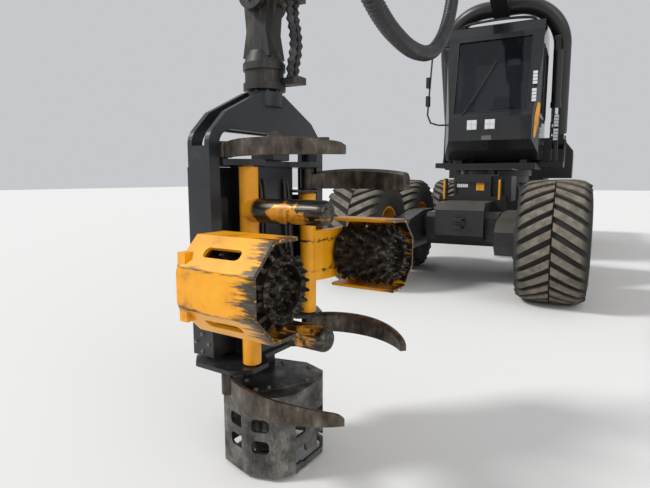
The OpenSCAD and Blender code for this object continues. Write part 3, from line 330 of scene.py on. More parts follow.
# Fasteners of the frames and the slewing ring
# Big set screws round the slewing ring's plate, on the caps of the steering pins and
# on the pins that carry the boom, in the same dull zinc.
ring_top = 1.502
foot_x, foot_y, foot_z = -0.9, 1.085, 2.0
steering_x, steering_top = 0.95, 1.01
shape = bmesh.new()
bolt_circle(shape, (SLEW_X, 0, ring_top), (0, 0, 1), radius=0.57, count=32, size=0.014)
for side in (-1, 1):
    boom_foot = (foot_x + SLEW_X, side * foot_y, foot_z)
    bolt_circle(shape, boom_foot, (0, side, 0), radius=0.03, count=4, size=0.01)
made_piece("platform_set_screws", shape, zinc_plate, "platform")
shape = bmesh.new()
for end in (-1, 1):
    steering_cap = (end * steering_x + SLEW_X, 0, steering_top)
    bolt_circle(shape, steering_cap, (0, 0, 1), radius=0.035, count=4, size=0.011)
    bolt_circle(shape, steering_cap, (0, 0, 1), radius=0.12, count=10, size=0.01)
made_piece("steering_pin_screws", shape, zinc_plate, "middle")

# Front handles
# Two bent steel grab handles welded on the front box, each in a sleeve that is
# sprayed in the rims' yellow.


def plain_pipe(name, points, material, body, radius, closed=False):
    """A bent tube of even thickness through points measured from the slewing centre."""
    run = [Vector(p) for p in points] if closed else smooth_run(points, radius * 1.6)
    piece = pipe_curve(name, run, radius, rings=3, closed=closed)
    piece.data.materials.append(material)
    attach(piece, body)


handle_x, handle_y = 2.1495, 0.37
for side_name, side in (("left", 1), ("right", -1)):
    plain_pipe("front_handle_sleeve_" + side_name,
               [(handle_x, side * handle_y, z) for z in (1.07, 1.15, 1.25, 1.34)],
               rim_yellow, "front", radius=0.0135)

# Hard lines on the jib
# Two steel lines run along each side of the jib's box, held by clamps, and feed the
# extension's cylinder and the head.
jib_root = (2.75, 0, 4.95)
jib_fall = math.atan2(2.5, 4.45)
jib_frame = Matrix.Translation(jib_root) @ Matrix.Rotation(jib_fall, 4, "Y")
line_y = 0.112
shape = bmesh.new()
for side_name, side in (("left", 1), ("right", -1)):
    for row_name, row in (("lower", -0.02), ("upper", 0.02)):
        plain_pipe("jib_line_%s_%s" % (side_name, row_name),
                   [jib_frame @ Vector((x, side * line_y, row)) for x in (0.72, 1.0, 1.6, 2.25)],
                   zinc_plate, "jib", radius=0.009)
    for x in (0.8, 1.25, 1.7, 2.15):
        clamp = Matrix.Translation((SLEW_X, 0, 0)) @ jib_frame @ Matrix.Translation((x, side * line_y, 0))
        bmesh.ops.create_cube(shape, size=1, matrix=clamp @ Matrix.Diagonal((0.03, 0.026, 0.085, 1)))
bmesh.ops.bevel(shape, geom=shape.edges[:], offset=0.002, segments=1, profile=0.5, affect="EDGES",
                material=-1)
made_piece("jib_line_clamps", shape, guard_black, "jib")

# Engine
# One cast-iron block in grey primer. It stands on the rear frame under the hood and
# is seen only through the hood's slots.
cast_grey, shader, spot = start_material("cast_iron_grey_primer", Roughness=0.7, Metallic=0.3)
sand = add_noise(cast_grey, spot, scale=60, detail=5)
tone = add_ramp(cast_grey, sand, (0.35, "#4b4b4c"), (0.7, "#6e6c69"))
bump = add_bump(cast_grey, sand, strength=0.3, distance=0.002)
feed(cast_grey, shader, Base_Color=tone, Normal=bump)
dress(cast_grey, "engine_block")

# Cab windows
# Laminated safety glass, tinted slightly grey. Each pane is set in a black rubber
# seal, and the cab's inside shows dimly through it.
window_glass, shader, spot = start_material("laminated_glass_grey", Roughness=0.02, Alpha=0.66, IOR=1.52)
film = add_noise(window_glass, spot, scale=0.7, detail=2)
tone = add_ramp(window_glass, film, (0.35, "#0d1115"), (0.65, "#171e25"))
feed(window_glass, shader, Base_Color=tone)
dress(window_glass, "cab_glass", "door_glass")

# Cab shell and door
# Pressed and welded panels in a deep black gloss lacquer, wiped clean. A little fine
# dust stays on them, and close up the spray's orange peel shows.
cab_lacquer, shader, spot = start_material("black_gloss_lacquer", Coat_Weight=0.6, Coat_Roughness=0.06)
veil = add_noise(cab_lacquer, spot, scale=2.4, detail=7, roughness=0.6)
tone = add_ramp(cab_lacquer, veil, (0.35, "#0b0c0e"), (0.6, "#121315"), (0.78, "#2a2926"))
sheen = add_node(cab_lacquer, "ShaderNodeMapRange", {"To Min": 0.14, "To Max": 0.42}, {"Value": veil})
orange_peel = add_noise(cab_lacquer, spot, scale=55, detail=2)
bump = add_bump(cab_lacquer, orange_peel, strength=0.03, distance=0.001)
feed(cab_lacquer, shader, Base_Color=tone, Roughness=sheen, Normal=bump)
dress(cab_lacquer, "cab_shell", "cab_door")

# Window seals and wiper
# Black extruded rubber profiles, pressed on round every pane, and a wiper on a steel
# arm that lies across the windscreen. The rubber has a dull bloom.
seal_rubber, shader, spot = start_material("extruded_rubber_seal", Roughness=0.6)
bloom = add_noise(seal_rubber, spot, scale=30, detail=4)
tone = add_ramp(seal_rubber, bloom, (0.35, "#0e0e0f"), (0.7, "#26262a"))
feed(seal_rubber, shader, Base_Color=tone)
screen_foot_x, screen_foot_z = 0.9, 2.32
screen_lean = 0.29 / 1.32


def screen_x(z):
    """The windscreen's outer face at a height, from the slewing centre."""
    return screen_foot_x - (z - screen_foot_z) * screen_lean


side_y = 0.725
screen_pane = [(-0.56, 2.4), (0.56, 2.4), (0.56, 3.56), (-0.56, 3.56)]
rear_pane = [(-0.52, 2.45), (0.52, 2.45), (0.52, 3.45), (-0.52, 3.45)]
right_pane = [(-0.56, 2.38), (0.6, 2.38), (0.6, 2.985), (0.5, 3.46), (-0.56, 3.46)]
quarter_pane = [(-0.59, 2.38), (0.08, 2.38), (0.08, 3.46), (-0.59, 3.46)]
door_pane = [(0.26, 2.38), (0.6, 2.38), (0.6, 2.985), (0.505, 3.43), (0.26, 3.43)]
for name, body, corners in (
        ("windscreen", "platform", [(screen_x(z), y, z) for y, z in screen_pane]),
        ("right_window", "platform", [(x, -side_y, z) for x, z in right_pane]),
        ("quarter_window", "platform", [(x, side_y, z) for x, z in quarter_pane]),
        ("rear_window", "platform", [(-0.7, y, z) for y, z in rear_pane]),
        ("door_window", "door", [(x, side_y, z) for x, z in door_pane])):
    plain_pipe("seal_of_" + name, corners, seal_rubber, body, radius=0.009, closed=True)
arm_places = ((0.02, -0.42, 2.37), (0.03, -0.28, 2.6), (0.03, -0.1, 2.9))
blade_places = [(0.014, -0.1 + (z - 2.9) * 0.5, z) for z in (2.55, 2.75, 2.95, 3.2)]
for name, radius, places in (("wiper_arm", 0.007, arm_places), ("wiper_blade", 0.009, blade_places)):
    on_screen = [(screen_x(z) + off, y, z) for off, y, z in places]
    plain_pipe(name, on_screen, seal_rubber, "platform", radius)

# Cab seat and controls
# An air-sprung seat in dark woven cloth, and consoles moulded in dark ABS. The cloth's
# threads, about 3 mm apart, and the plastic's leather grain of 2.5 mm are drawn
# coarser than they are, so that they show.
seat_cloth, shader, spot = start_material("woven_cloth_charcoal", Roughness=0.95)
weave = add_node(seat_cloth, "ShaderNodeTexWave", {"Scale": 120, "Distortion": 1.5}, {"Vector": spot},
                 bands_direction="DIAGONAL")
tone = add_ramp(seat_cloth, weave.outputs["Fac"], (0.2, "#1d1e21"), (0.8, "#34363a"))
bump = add_bump(seat_cloth, weave.outputs["Fac"], strength=0.3, distance=0.001)
feed(seat_cloth, shader, Base_Color=tone, Normal=bump)
back_lean = math.radians(-98.8)
armrest_y = 0.307
armrest_size = (0.3, 0.085, 0.045)
roundness, rim_share, seam_depth, seam_half, drawn_in = 5, 0.45, 0.16, 0.05, 0.05
for name, size, middle, lean, channels, fill in (
        ("seat_cushion", (0.54, 0.52, 0.15), (-0.145, 0, 2.04), 0, (-0.45, 0.05, 0.5), 0.8),
        ("seat_back", (0.56, 0.47, 0.14), (-0.39, 0, 2.37), back_lean, (-0.5, -0.05, 0.4), 0.75),
        ("seat_headrest", (0.17, 0.27, 0.1), (-0.45, 0, 2.735), back_lean, (), 0.7),
        ("armrest_pad_left", armrest_size, (-0.17, armrest_y, 2.285), 0, (), 0.9),
        ("armrest_pad_right", armrest_size, (-0.17, -armrest_y, 2.285), 0, (), 0.9)):
    shape = bmesh.new()
    bmesh.ops.create_cube(shape, size=2)
    bmesh.ops.subdivide_edges(shape, edges=shape.edges[:], cuts=17, use_grid_fill=True)
    seat_place = Matrix.Translation(Vector(middle) + Vector((SLEW_X, 0, 0))) @ Matrix.Rotation(lean, 4, "Y")
    for vert in shape.verts:
        x, y, z = vert.co
        reach = max(abs(x), abs(y), 1e-6)
        round_off = reach / (abs(x) ** roundness + abs(y) ** roundness + 1e-9) ** (1 / roundness)
        crown = rim_share + (1 - rim_share) * ((1 - x ** 4) * (1 - y ** 4)) ** 0.5
        sewn = sum(seam_depth * math.exp(-((x - c) / seam_half) ** 2) for c in channels)
        spread = round_off * (1 - drawn_in * (1 - z * z) if reach > 0.99 else 1)
        vert.co = seat_place @ Vector((x * spread * size[0] / 2, y * spread * size[1] / 2,
                                       z * (crown - sewn) * size[2] / 2))
    pad = made_piece(name, shape, seat_cloth, "platform", smooth=True)
    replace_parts(pad, "cab_seat")
console_plastic, shader, spot = start_material("moulded_abs_dark", Roughness=0.55)
leather_mould = add_node(console_plastic, "ShaderNodeTexVoronoi", {"Scale": 400}, {"Vector": spot})
tone = add_ramp(console_plastic, leather_mould, (0.1, "#1e1f21"), (0.9, "#2b2c2f"))
bump = add_bump(console_plastic, leather_mould, strength=0.2, distance=0.0005)
feed(console_plastic, shader, Base_Color=tone, Normal=bump)
dress(console_plastic, "cab_controls")
bellows_low, fold_high = 1.72, 0.018
shape = bmesh.new()
for fold in range(7):
    for lift, wide, narrow in ((0, 0.15, 0.185), (1, 0.185, 0.15)):
        fold_z = bellows_low + (2 * fold + lift + 0.5) * fold_high
        bmesh.ops.create_cone(shape, segments=28, radius1=wide, radius2=narrow, depth=fold_high,
                              matrix=Matrix.Translation((-0.2 + SLEW_X, 0, fold_z)))
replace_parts(made_piece("seat_bellows", shape, console_plastic, "platform"), "cab_seat")


def soft_box(shape, middle, size, edge, turn=Matrix.Identity(4)):
    """A box with rounded edges, measured from the slewing centre."""
    made = bmesh.ops.create_cube(shape, size=1, matrix=Matrix.Translation((SLEW_X, 0, 0))
                                 @ Matrix.Translation(middle) @ turn @ Matrix.Diagonal((*size, 1)))
    edges = {e for v in made["verts"] for e in v.link_edges}
    bmesh.ops.bevel(shape, geom=list(edges), offset=edge, segments=2, profile=0.5, affect="EDGES",
                    material=-1)


shape = bmesh.new()
for side in (-1, 1):
    soft_box(shape, (-0.125, side * armrest_y, 2.18), (0.4, 0.088, 0.15), edge=0.015)
    soft_box(shape, (-0.3, side * 0.28, 2.09), (0.06, 0.05, 0.1), edge=0.01)
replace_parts(made_piece("armrest_consoles", shape, console_plastic, "platform"), "cab_seat")

# Work lamps
# Diode lamps with clear polycarbonate lenses over bright reflectors, screwed to the
# cab's roof and front. They are switched off, so they only catch the light.
lamp_white, shader, spot = start_material("polycarbonate_lamp_lens", Roughness=0.12, IOR=1.58)
prism = add_node(lamp_white, "ShaderNodeTexWave", {"Scale": 40}, {"Vector": spot}, bands_direction="Z")
tone = add_ramp(lamp_white, prism.outputs["Fac"], (0.2, "#c9ccd0"), (0.8, "#f4f5f6"))
bump = add_bump(lamp_white, prism.outputs["Fac"], strength=0.3, distance=0.001)
feed(lamp_white, shader, Base_Color=tone, Normal=bump)
dress(lamp_white, "lamps")

# Pillar lamps and light bar
# Two upright lamps on the cab's front pillar and two on a post beside the cab, in
# black moulded housings, and a light bar of six diodes in the front box's recess.
pillar_y = 0.64
post_x, post_y = -0.105, 0.93
lamp_half_h = 0.1
lens_rows = 4
housings = bmesh.new()
lenses = bmesh.new()
for x, y, z, half_w in (
        (screen_x(2.88) + 0.02, pillar_y, 2.88, 0.04), (screen_x(2.613) + 0.02, pillar_y, 2.613, 0.04),
        (post_x, post_y, 2.312, 0.0435), (post_x, post_y, 2.089, 0.0435)):
    soft_box(housings, (x, y, z), (0.05, 2 * half_w, 2 * lamp_half_h), edge=0.008)
    for row in range(lens_rows):
        lens_z = z - lamp_half_h + (row + 0.5) * 2 * lamp_half_h / lens_rows
        soft_box(lenses, (x + 0.026, y, lens_z), (0.008, 1.6 * half_w, 0.42 * lamp_half_h), edge=0.002)
soft_box(housings, (-0.145, post_y, 2.03), (0.03, 0.03, 0.78), edge=0.004)
made_piece("pillar_lamp_housings", housings, console_plastic, "platform")
made_piece("pillar_lamp_lenses", lenses, lamp_white, "platform")
shape = bmesh.new()
for k in range(6):
    soft_box(shape, (2.078, -0.2 + k * 0.026, 1.257), (0.014, 0.022, 0.05), edge=0.003)
made_piece("light_bar", shape, lamp_white, "front")

# Corner strip, plates and roof lines
# A leaf-shaped strip in yellow on the cab's front left corner, an orange plate beside
# the light bar, a bare plate under the lamps, and the hose lines over the roof's front.
leaf = [(0.01, 2.5), (0.1, 2.52), (0.165, 2.3), (0.18, 1.99), (0.13, 1.98), (0.05, 2.2)]
corner = Vector((0.69 + SLEW_X, side_y, 0))
corner_way = Vector((0.235, -0.105, 0)).normalized()
corner_out = Vector((-corner_way.y, corner_way.x, 0))


def cut_plate(shape, outline, through):
    """A plate cut to an outline of places, as thick as one vector is long."""
    face = shape.faces.new([shape.verts.new(place) for place in outline])
    raised = bmesh.ops.extrude_face_region(shape, geom=[face])["geom"]
    bmesh.ops.translate(shape, vec=through, verts=[v for v in raised if isinstance(v, bmesh.types.BMVert)])


shape = bmesh.new()
cut_plate(shape, [corner + Vector((0, 0, z)) + corner_way * s for s, z in leaf], corner_out * 0.007)
made_piece("corner_strip", shape, rim_yellow, "platform")
for name, middle, size, edge, finish, body in (
        ("orange_plate", (2.073, 0.106, 1.25), (0.006, 0.107, 0.12), 0.002, rim_yellow, "front"),
        ("bare_plate", (0.902, -0.03, 2.0), (0.004, 0.15, 0.07), 0.001, zinc_plate, "platform")):
    shape = bmesh.new()
    soft_box(shape, middle, size, edge)
    made_piece(name, shape, finish, body)
# The lines over the roof lie one behind another and rise a little backwards, but for
# their ends at the cab's sides.
line_gap = 0.028
roof_places = ((0.44, -0.64, 3.8, 0), (0.43, -0.5, 3.87, 1), (0.41, -0.2, 3.9, 1),
               (0.4, 0.15, 3.905, 1), (0.41, 0.5, 3.87, 1), (0.42, 0.64, 3.8, 0))
for k in range(4):
    back = k * line_gap
    line_places = [(x - back, y, z + rising * back / 2) for x, y, z, rising in roof_places]
    plain_pipe("roof_line_%d" % (k + 1), line_places, seal_rubber, "platform", radius=0.012)

# Cylinder rods
# Hard chrome on ground steel bars, wiped by the cylinders' seals, with a thin oily
# film that dulls the shine here and there.
hard_chrome, shader, spot = start_material("hard_chrome_rod", Metallic=1.0)
film = add_noise(hard_chrome, spot, scale=20, detail=4)
tone = add_ramp(hard_chrome, film, (0.3, "#b9bcc0"), (0.7, "#d9dbde"))
smear = add_node(hard_chrome, "ShaderNodeMapRange", {"To Min": 0.06, "To Max": 0.22}, {"Value": film})
feed(hard_chrome, shader, Base_Color=tone, Roughness=smear)
dress(hard_chrome, "lift_rods", "jib_rod")

# Crane link and rotator
# Cast steel, pinned to the extension's tip and carrying the rotator. It is greasy, and
# streaked with bark dust that runs downwards.
link_cast, shader, spot = start_material("cast_steel_greased")
drawn = add_node(link_cast, "ShaderNodeMapping", {"Scale": (14, 14, 2.2)}, {"Vector": spot})
streak = add_noise(link_cast, drawn, scale=2.2, detail=7, roughness=0.6)
tone = add_ramp(link_cast, streak, (0.34, "#121110"), (0.55, "#24211e"), (0.72, "#54493c"))
wet = add_node(link_cast, "ShaderNodeMapRange", {"To Min": 0.25, "To Max": 0.75}, {"Value": streak})
bump = add_bump(link_cast, streak, strength=0.5, distance=0.004)
feed(link_cast, shader, Base_Color=tone, Roughness=wet, Normal=bump)
dress(link_cast, "upper_link", "lower_link")
HANG_X = 7.2
shape = bmesh.new()
for side in (1, -1):
    pin_end = (HANG_X + SLEW_X, side * 0.08, 2.45)
    bolt_circle(shape, pin_end, (0, side, 0), radius=0.02, count=3, size=0.009)
made_piece("tip_pin_screws", shape, zinc_plate, "extension")
shape = bmesh.new()
for side in (-1, 1):
    pin_end = (HANG_X + side * 0.1 + SLEW_X, 0, 2.13)
    bolt_circle(shape, pin_end, (side, 0, 0), radius=0.02, count=3, size=0.009)
made_piece("cross_pin_screws", shape, zinc_plate, "upper_link")

# Tilt frame and head body
# Laser-cut high-strength plate, bent and welded, in charcoal enamel that is scuffed
# grey along the rims and dusted brown near the stem.
charcoal_enamel, shader, spot = start_material("charcoal_enamel_on_plate")
cloud = add_noise(charcoal_enamel, spot, scale=5, detail=8, roughness=0.66)
scratch_way = add_node(charcoal_enamel, "ShaderNodeMapping", {"Scale": (60, 60, 9)}, {"Vector": spot})
scratch = add_noise(charcoal_enamel, scratch_way, scale=1.5, detail=4, roughness=0.8)
tone = add_ramp(charcoal_enamel, cloud, (0.32, "#17181b"), (0.58, "#232529"), (0.76, "#3d3b37"))
chip = add_node(charcoal_enamel, "ShaderNodeMapRange", {"From Min": 0.7, "From Max": 0.78},
                {"Value": scratch})
chipped = add_node(charcoal_enamel, "ShaderNodeMix", {7: hex_colour("#77736c")}, {0: chip, 6: tone},
                   data_type="RGBA")
sheen = add_node(charcoal_enamel, "ShaderNodeMapRange", {"To Min": 0.22, "To Max": 0.5}, {"Value": cloud})
bump = add_bump(charcoal_enamel, cloud, strength=0.15, distance=0.002)
feed(charcoal_enamel, shader, Base_Color=chipped.outputs[2], Roughness=sheen, Normal=bump)
dress(charcoal_enamel, "head_body")
# The head's own axes, from the slewing centre and in the frame
head_yaw = math.radians(84)
head_frame = Matrix.Translation((HANG_X, 0, 0)) @ Matrix.Rotation(head_yaw, 4, "Z")
head_world = Matrix.Translation((SLEW_X, 0, 0)) @ head_frame
head_turn = head_frame.to_3x3()


def rounded_copy(node, name, material, body, walls, tip_x=math.inf):
    """Shows a copy of a CAD piece in its place, with its corners rounded.

    Each wall is a way through the plate in the head's frame, the least and most
    thickness there, and the corners' radius. Edges beyond tip_x are rounded too.
    """
    corner_turn, tip_radius = math.radians(28), 0.028
    shape = bmesh.new()
    shape.from_mesh(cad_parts[node].data)
    bmesh.ops.remove_doubles(shape, verts=shape.verts, dist=1e-5)
    bmesh.ops.dissolve_limit(shape, angle_limit=math.radians(1), verts=shape.verts, edges=shape.edges)
    for way, least, most, radius in walls:
        through = (head_turn @ Vector(way)).normalized()
        corners = []
        for edge in shape.edges:
            run = edge.verts[1].co - edge.verts[0].co
            if least < run.length < most and abs(run.normalized().dot(through)) > 0.995:
                if len(edge.link_faces) == 2 and edge.calc_face_angle(0) > corner_turn:
                    corners.append(edge)
        bmesh.ops.bevel(shape, geom=corners, offset=radius, segments=4, profile=0.5, affect="EDGES",
                        clamp_overlap=True, material=-1)
    to_head = head_world.inverted()
    tips = [e for e in shape.edges if min((to_head @ v.co).x for v in e.verts) > tip_x]
    if tips:
        bmesh.ops.bevel(shape, geom=tips, offset=tip_radius, segments=5, profile=0.5, affect="EDGES",
                        clamp_overlap=True, material=-1)
    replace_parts(made_piece(name, shape, material, body), node)


# The tilt frame's plates are flame-cut with round shoulders and round inner corners.
rounded_copy("tilt_frame", "tilt_yoke", charcoal_enamel, "tilt_frame", [((1, 0, 0), 0.024, 0.026, 0.05)])

# Fasteners and hard lines of the head
# Screws on the rotator's flange, the tilt pins and the hinge pins' caps, and four
# steel lines that run down the spine to the rollers' motors and the saw.
across = head_turn @ Vector((0, 1, 0))
flange_top, tilt_z = 1.732, 1.0
shape = bmesh.new()
bolt_circle(shape, head_world @ Vector((0, 0, flange_top)), (0, 0, 1), radius=0.066, count=8, size=0.008)
for side in (-1, 1):
    tilt_cap = head_world @ Vector((-0.01, side * 0.4, tilt_z))
    bolt_circle(shape, tilt_cap, across * side, radius=0.08, count=8, size=0.009)
made_piece("tilt_frame_screws", shape, zinc_plate, "tilt_frame")
shape = bmesh.new()
for side in (-1, 1):
    hinge_cap = head_world @ Vector((-0.12, side * 0.18, 1.43))
    bolt_circle(shape, hinge_cap, (0, 0, 1), radius=0.04, count=4, size=0.009)
    for z in (0.62, 0.8, 1.2, 1.36):
        side_cap = head_world @ Vector((-0.14, side * 0.29, z))
        bolt_circle(shape, side_cap, across * side, radius=0.04, count=4, size=0.009)
made_piece("head_body_screws", shape, zinc_plate, "head")
for k, (y, low) in enumerate(((-0.1, 0.86), (-0.072, 0.66), (0.072, 0.66), (0.1, 0.86))):
    line_places = ((0.035, 1.35), (0.052, 1.28), (0.055, low + 0.1), (0.035, low))
    plain_pipe("head_line_%d" % (k + 1), [head_frame @ Vector((x, y, z)) for x, z in line_places],
               link_cast, "head", radius=0.009)

# Saw box and saw bar
# Bare wear-resistant plate, dark mill scale rubbed bright on edges and corners,
# with fine scratches in all directions.
scaled_steel, shader, spot = start_material("wear_plate_mill_scale", Metallic=0.75)
cloud = add_noise(scaled_steel, spot, scale=7, detail=9, roughness=0.68)
scratch_way = add_node(scaled_steel, "ShaderNodeMapping",
                       {"Scale": (90, 90, 12), "Rotation": (0.4, 0.2, 0)}, {"Vector": spot})
scratch = add_noise(scaled_steel, scratch_way, scale=2, detail=5, roughness=0.85)
both = add_node(scaled_steel, "ShaderNodeMath", {1: 0.45}, {0: scratch, 2: cloud},
                operation="MULTIPLY_ADD")
tone = add_ramp(scaled_steel, both, (0.55, "#33312f"), (0.72, "#5a5855"), (0.9, "#8f8a83"))
sheen = add_node(scaled_steel, "ShaderNodeMapRange",
                 {"From Min": 0.5, "From Max": 0.9, "To Min": 0.55, "To Max": 0.3}, {"Value": both})
bump = add_bump(scaled_steel, both, strength=0.15, distance=0.001)
feed(scaled_steel, shader, Base_Color=tone, Roughness=sheen, Normal=bump)
dress(scaled_steel, "saw_bar")
rounded_copy("saw_box", "saw_housing", scaled_steel, "head", [
    ((1, 0, 0), 0.0115, 0.0205, 0.02), ((0, 1, 0), 0.0115, 0.0165, 0.02), ((0, 0, 1), 0.37, 0.39, 0.03)])

# Saw lid and chain
# A flame-cut lid plate, screwed on the saw box at its corners, and the cutting chain
# of zinc-plated links that runs round the bar.
lid = [(-0.055, -0.142), (0.07, -0.206), (0.11, -0.15), (0.225, 0.04), (0.13, 0.2), (-0.055, 0.18)]
lid_low, lid_top = 0.4, 0.406
shape = bmesh.new()
cut_plate(shape, [head_world @ Vector((x, y, lid_low)) for x, y in lid], Vector((0, 0, lid_top - lid_low)))
made_piece("saw_lid", shape, scaled_steel, "head")
shape = bmesh.new()
for x, y in lid:
    screw_place = head_world @ Vector((x * 0.84 + 0.01, y * 0.86, lid_top))
    bolt_circle(shape, screw_place, (0, 0, 1), radius=0, count=1, size=0.011)
made_piece("saw_lid_screws", shape, zinc_plate, "head")
bar_turn = Matrix.Rotation(math.radians(150), 4, "Z")
bar_frame = head_world @ Matrix.Translation((0.05, -0.09, 0.07)) @ bar_turn
straight, nose = 0.5, 0.041
pitch = 0.0162
shape = bmesh.new()
for k in range(int((2 * straight + math.pi * nose) / pitch)):
    s = k * pitch
    if s < straight:
        x, y, turn = s, -nose, 0
    elif s < straight + math.pi * nose:
        turn = (s - straight) / nose
        x, y = straight + nose * math.sin(turn), -nose * math.cos(turn)
    else:
        x, y, turn = 2 * straight + math.pi * nose - s, nose, math.pi
    link = bar_frame @ Matrix.Translation((x, y, 0)) @ Matrix.Rotation(turn, 4, "Z")
    bmesh.ops.create_cube(shape, size=1, matrix=link @ Matrix.Diagonal((0.013, 0.006, 0.009, 1)))
    if k % 3 == 0:
        bmesh.ops.create_cube(shape, size=1, matrix=link @ Matrix.Translation((0, -0.004, 0))
                              @ Matrix.Diagonal((0.006, 0.005, 0.009, 1)))
made_piece("saw_chain", shape, zinc_plate, "saw_bar")

# Feed arms
# Folded plate in orange-yellow enamel. The stems have rubbed it to grey steel, in
# streaks along the roller, where the wear on the outer end and beside the folds adds
# up. The two guard bars are bare nearly all over.
arm_z, fold_off = 0.97, 0.075
bars_z, bar_off, bar_half = 0.9725, 0.2475, 0.053
worn_yellow, shader, spot = start_material("yellow_enamel_worn", Roughness=0.38)
at_head = add_node(worn_yellow, "ShaderNodeMapping", {"Rotation": (0, 0, -head_yaw)}, {"Vector": spot})
head_place = Matrix.Rotation(-head_yaw, 3, "Z") @ Vector((HANG_X + SLEW_X, 0, 0))
centred = add_node(worn_yellow, "ShaderNodeVectorMath", {1: head_place}, {0: at_head},
                   operation="SUBTRACT")
axes = add_node(worn_yellow, "ShaderNodeSeparateXYZ", links={"Vector": centred})
streak_way = add_node(worn_yellow, "ShaderNodeMapping", {"Scale": (3, 16, 26)}, {"Vector": centred})
streak = add_noise(worn_yellow, streak_way, scale=2.4, detail=8, roughness=0.7)
cloud = add_noise(worn_yellow, spot, scale=9, detail=8, roughness=0.6)
outer = add_node(worn_yellow, "ShaderNodeMapRange", {"From Min": 0.24, "From Max": 0.46, "To Max": 0.5},
                 {"Value": axes.outputs["X"]})
level = add_node(worn_yellow, "ShaderNodeMath", {1: arm_z}, {0: axes.outputs["Z"]}, operation="SUBTRACT")
fold = add_node(worn_yellow, "ShaderNodeMath", links={0: level}, operation="ABSOLUTE")
near_fold = add_node(worn_yellow, "ShaderNodeMath", {1: fold_off}, {0: fold}, operation="SUBTRACT")
off_fold = add_node(worn_yellow, "ShaderNodeMath", links={0: near_fold}, operation="ABSOLUTE")
ridge = add_node(worn_yellow, "ShaderNodeMapRange", {"From Min": 0.045, "From Max": 0.0, "To Max": 0.42},
                 {"Value": off_fold})
wear = add_node(worn_yellow, "ShaderNodeMath", links={0: outer, 1: ridge}, operation="MAXIMUM")
wear_noise = add_node(worn_yellow, "ShaderNodeMath", links={0: wear, 1: streak}, operation="ADD")
bare = add_node(worn_yellow, "ShaderNodeMapRange", {"From Min": 0.86, "From Max": 0.98},
                {"Value": wear_noise})
paint = add_ramp(worn_yellow, cloud, (0.3, "#f8ae12"), (0.58, "#eb9d10"), (0.73, "#a8701c"))
steel = add_ramp(worn_yellow, streak, (0.4, "#2f2c29"), (0.7, "#6f6a62"))
off_middle = add_node(worn_yellow, "ShaderNodeMath", {1: bars_z}, {0: axes.outputs["Z"]},
                      operation="SUBTRACT")
from_middle = add_node(worn_yellow, "ShaderNodeMath", links={0: off_middle}, operation="ABSOLUTE")
bar_height = add_node(worn_yellow, "ShaderNodeMath", {1: bar_off, 2: bar_half}, {0: from_middle},
                      operation="COMPARE")
bar_reach = add_node(worn_yellow, "ShaderNodeMapRange", {"From Min": 0.128, "From Max": 0.15},
                     {"Value": axes.outputs["X"]})
on_bar = add_node(worn_yellow, "ShaderNodeMath", links={0: bar_height, 1: bar_reach},
                  operation="MULTIPLY")
scrap = add_node(worn_yellow, "ShaderNodeMapRange", {"From Min": 0.62, "From Max": 0.56},
                 {"Value": cloud})
bare_bar = add_node(worn_yellow, "ShaderNodeMath", links={0: on_bar, 1: scrap}, operation="MULTIPLY")
all_bare = add_node(worn_yellow, "ShaderNodeMath", links={0: bare, 1: bare_bar}, operation="MAXIMUM")
coat = add_node(worn_yellow, "ShaderNodeMix", links={0: all_bare, 6: paint, 7: steel}, data_type="RGBA")
bump = add_bump(worn_yellow, streak, strength=0.25, distance=0.002)
feed(worn_yellow, shader, Base_Color=coat.outputs[2], Metallic=all_bare, Normal=bump)
fold_corners = [((0, way, 1), 0.013, 0.015, 0.018) for way in (1, -1)]
for node in ("feed_arm_near", "feed_arm_far"):
    rounded_copy(node, node + "_guard", worn_yellow, node, fold_corners, tip_x=0.485)

# Feed rollers
# Welded steel drums with rows of cut spikes, brown-black from bark juice, with
# bright points where they bite.
roller_steel, shader, spot = start_material("roller_steel_bark_stained", Metallic=0.7)
stain = add_noise(roller_steel, spot, scale=30, detail=8, roughness=0.7)
tone = add_ramp(roller_steel, stain, (0.36, "#1c1917"), (0.54, "#3b352f"), (0.68, "#8a7c6c"))
sheen = add_node(roller_steel, "ShaderNodeMapRange", {"To Min": 0.3, "To Max": 0.7}, {"Value": stain})
bump = add_bump(roller_steel, stain, strength=0.6, distance=0.004)
feed(roller_steel, shader, Base_Color=tone, Roughness=sheen, Normal=bump)
dress(roller_steel, "roller_near", "roller_far")

# Studs on the rollers' ends
# Cut points of hard steel, welded in three rings on the end ring and on the hub's
# cover, like those on the drum.
stud_high, stud_sunk = 0.026, 0.001
roller_end, roller_z = 0.46, 0.97
outwards = Matrix.Rotation(math.pi / 2, 4, "Y")
for roller, y in (("roller_near", -0.455), ("roller_far", 0.455)):
    shape = bmesh.new()
    end_place = head_world @ Matrix.Translation((roller_end, y, roller_z)) @ outwards
    for radius, count, inset, turn in ((0.106, 18, 0, 0), (0.072, 12, 0.04, 0.2), (0.036, 6, 0.04, 0)):
        lift = Matrix.Translation((radius, 0, stud_high / 2 - stud_sunk - inset))
        for k in range(count):
            around = Matrix.Rotation(turn + math.tau * k / count, 4, "Z")
            bmesh.ops.create_cone(shape, cap_ends=True, segments=5, radius1=0.013, radius2=0.005,
                                  depth=stud_high, matrix=end_place @ around @ lift)
    made_piece(roller + "_studs", shape, roller_steel, roller)

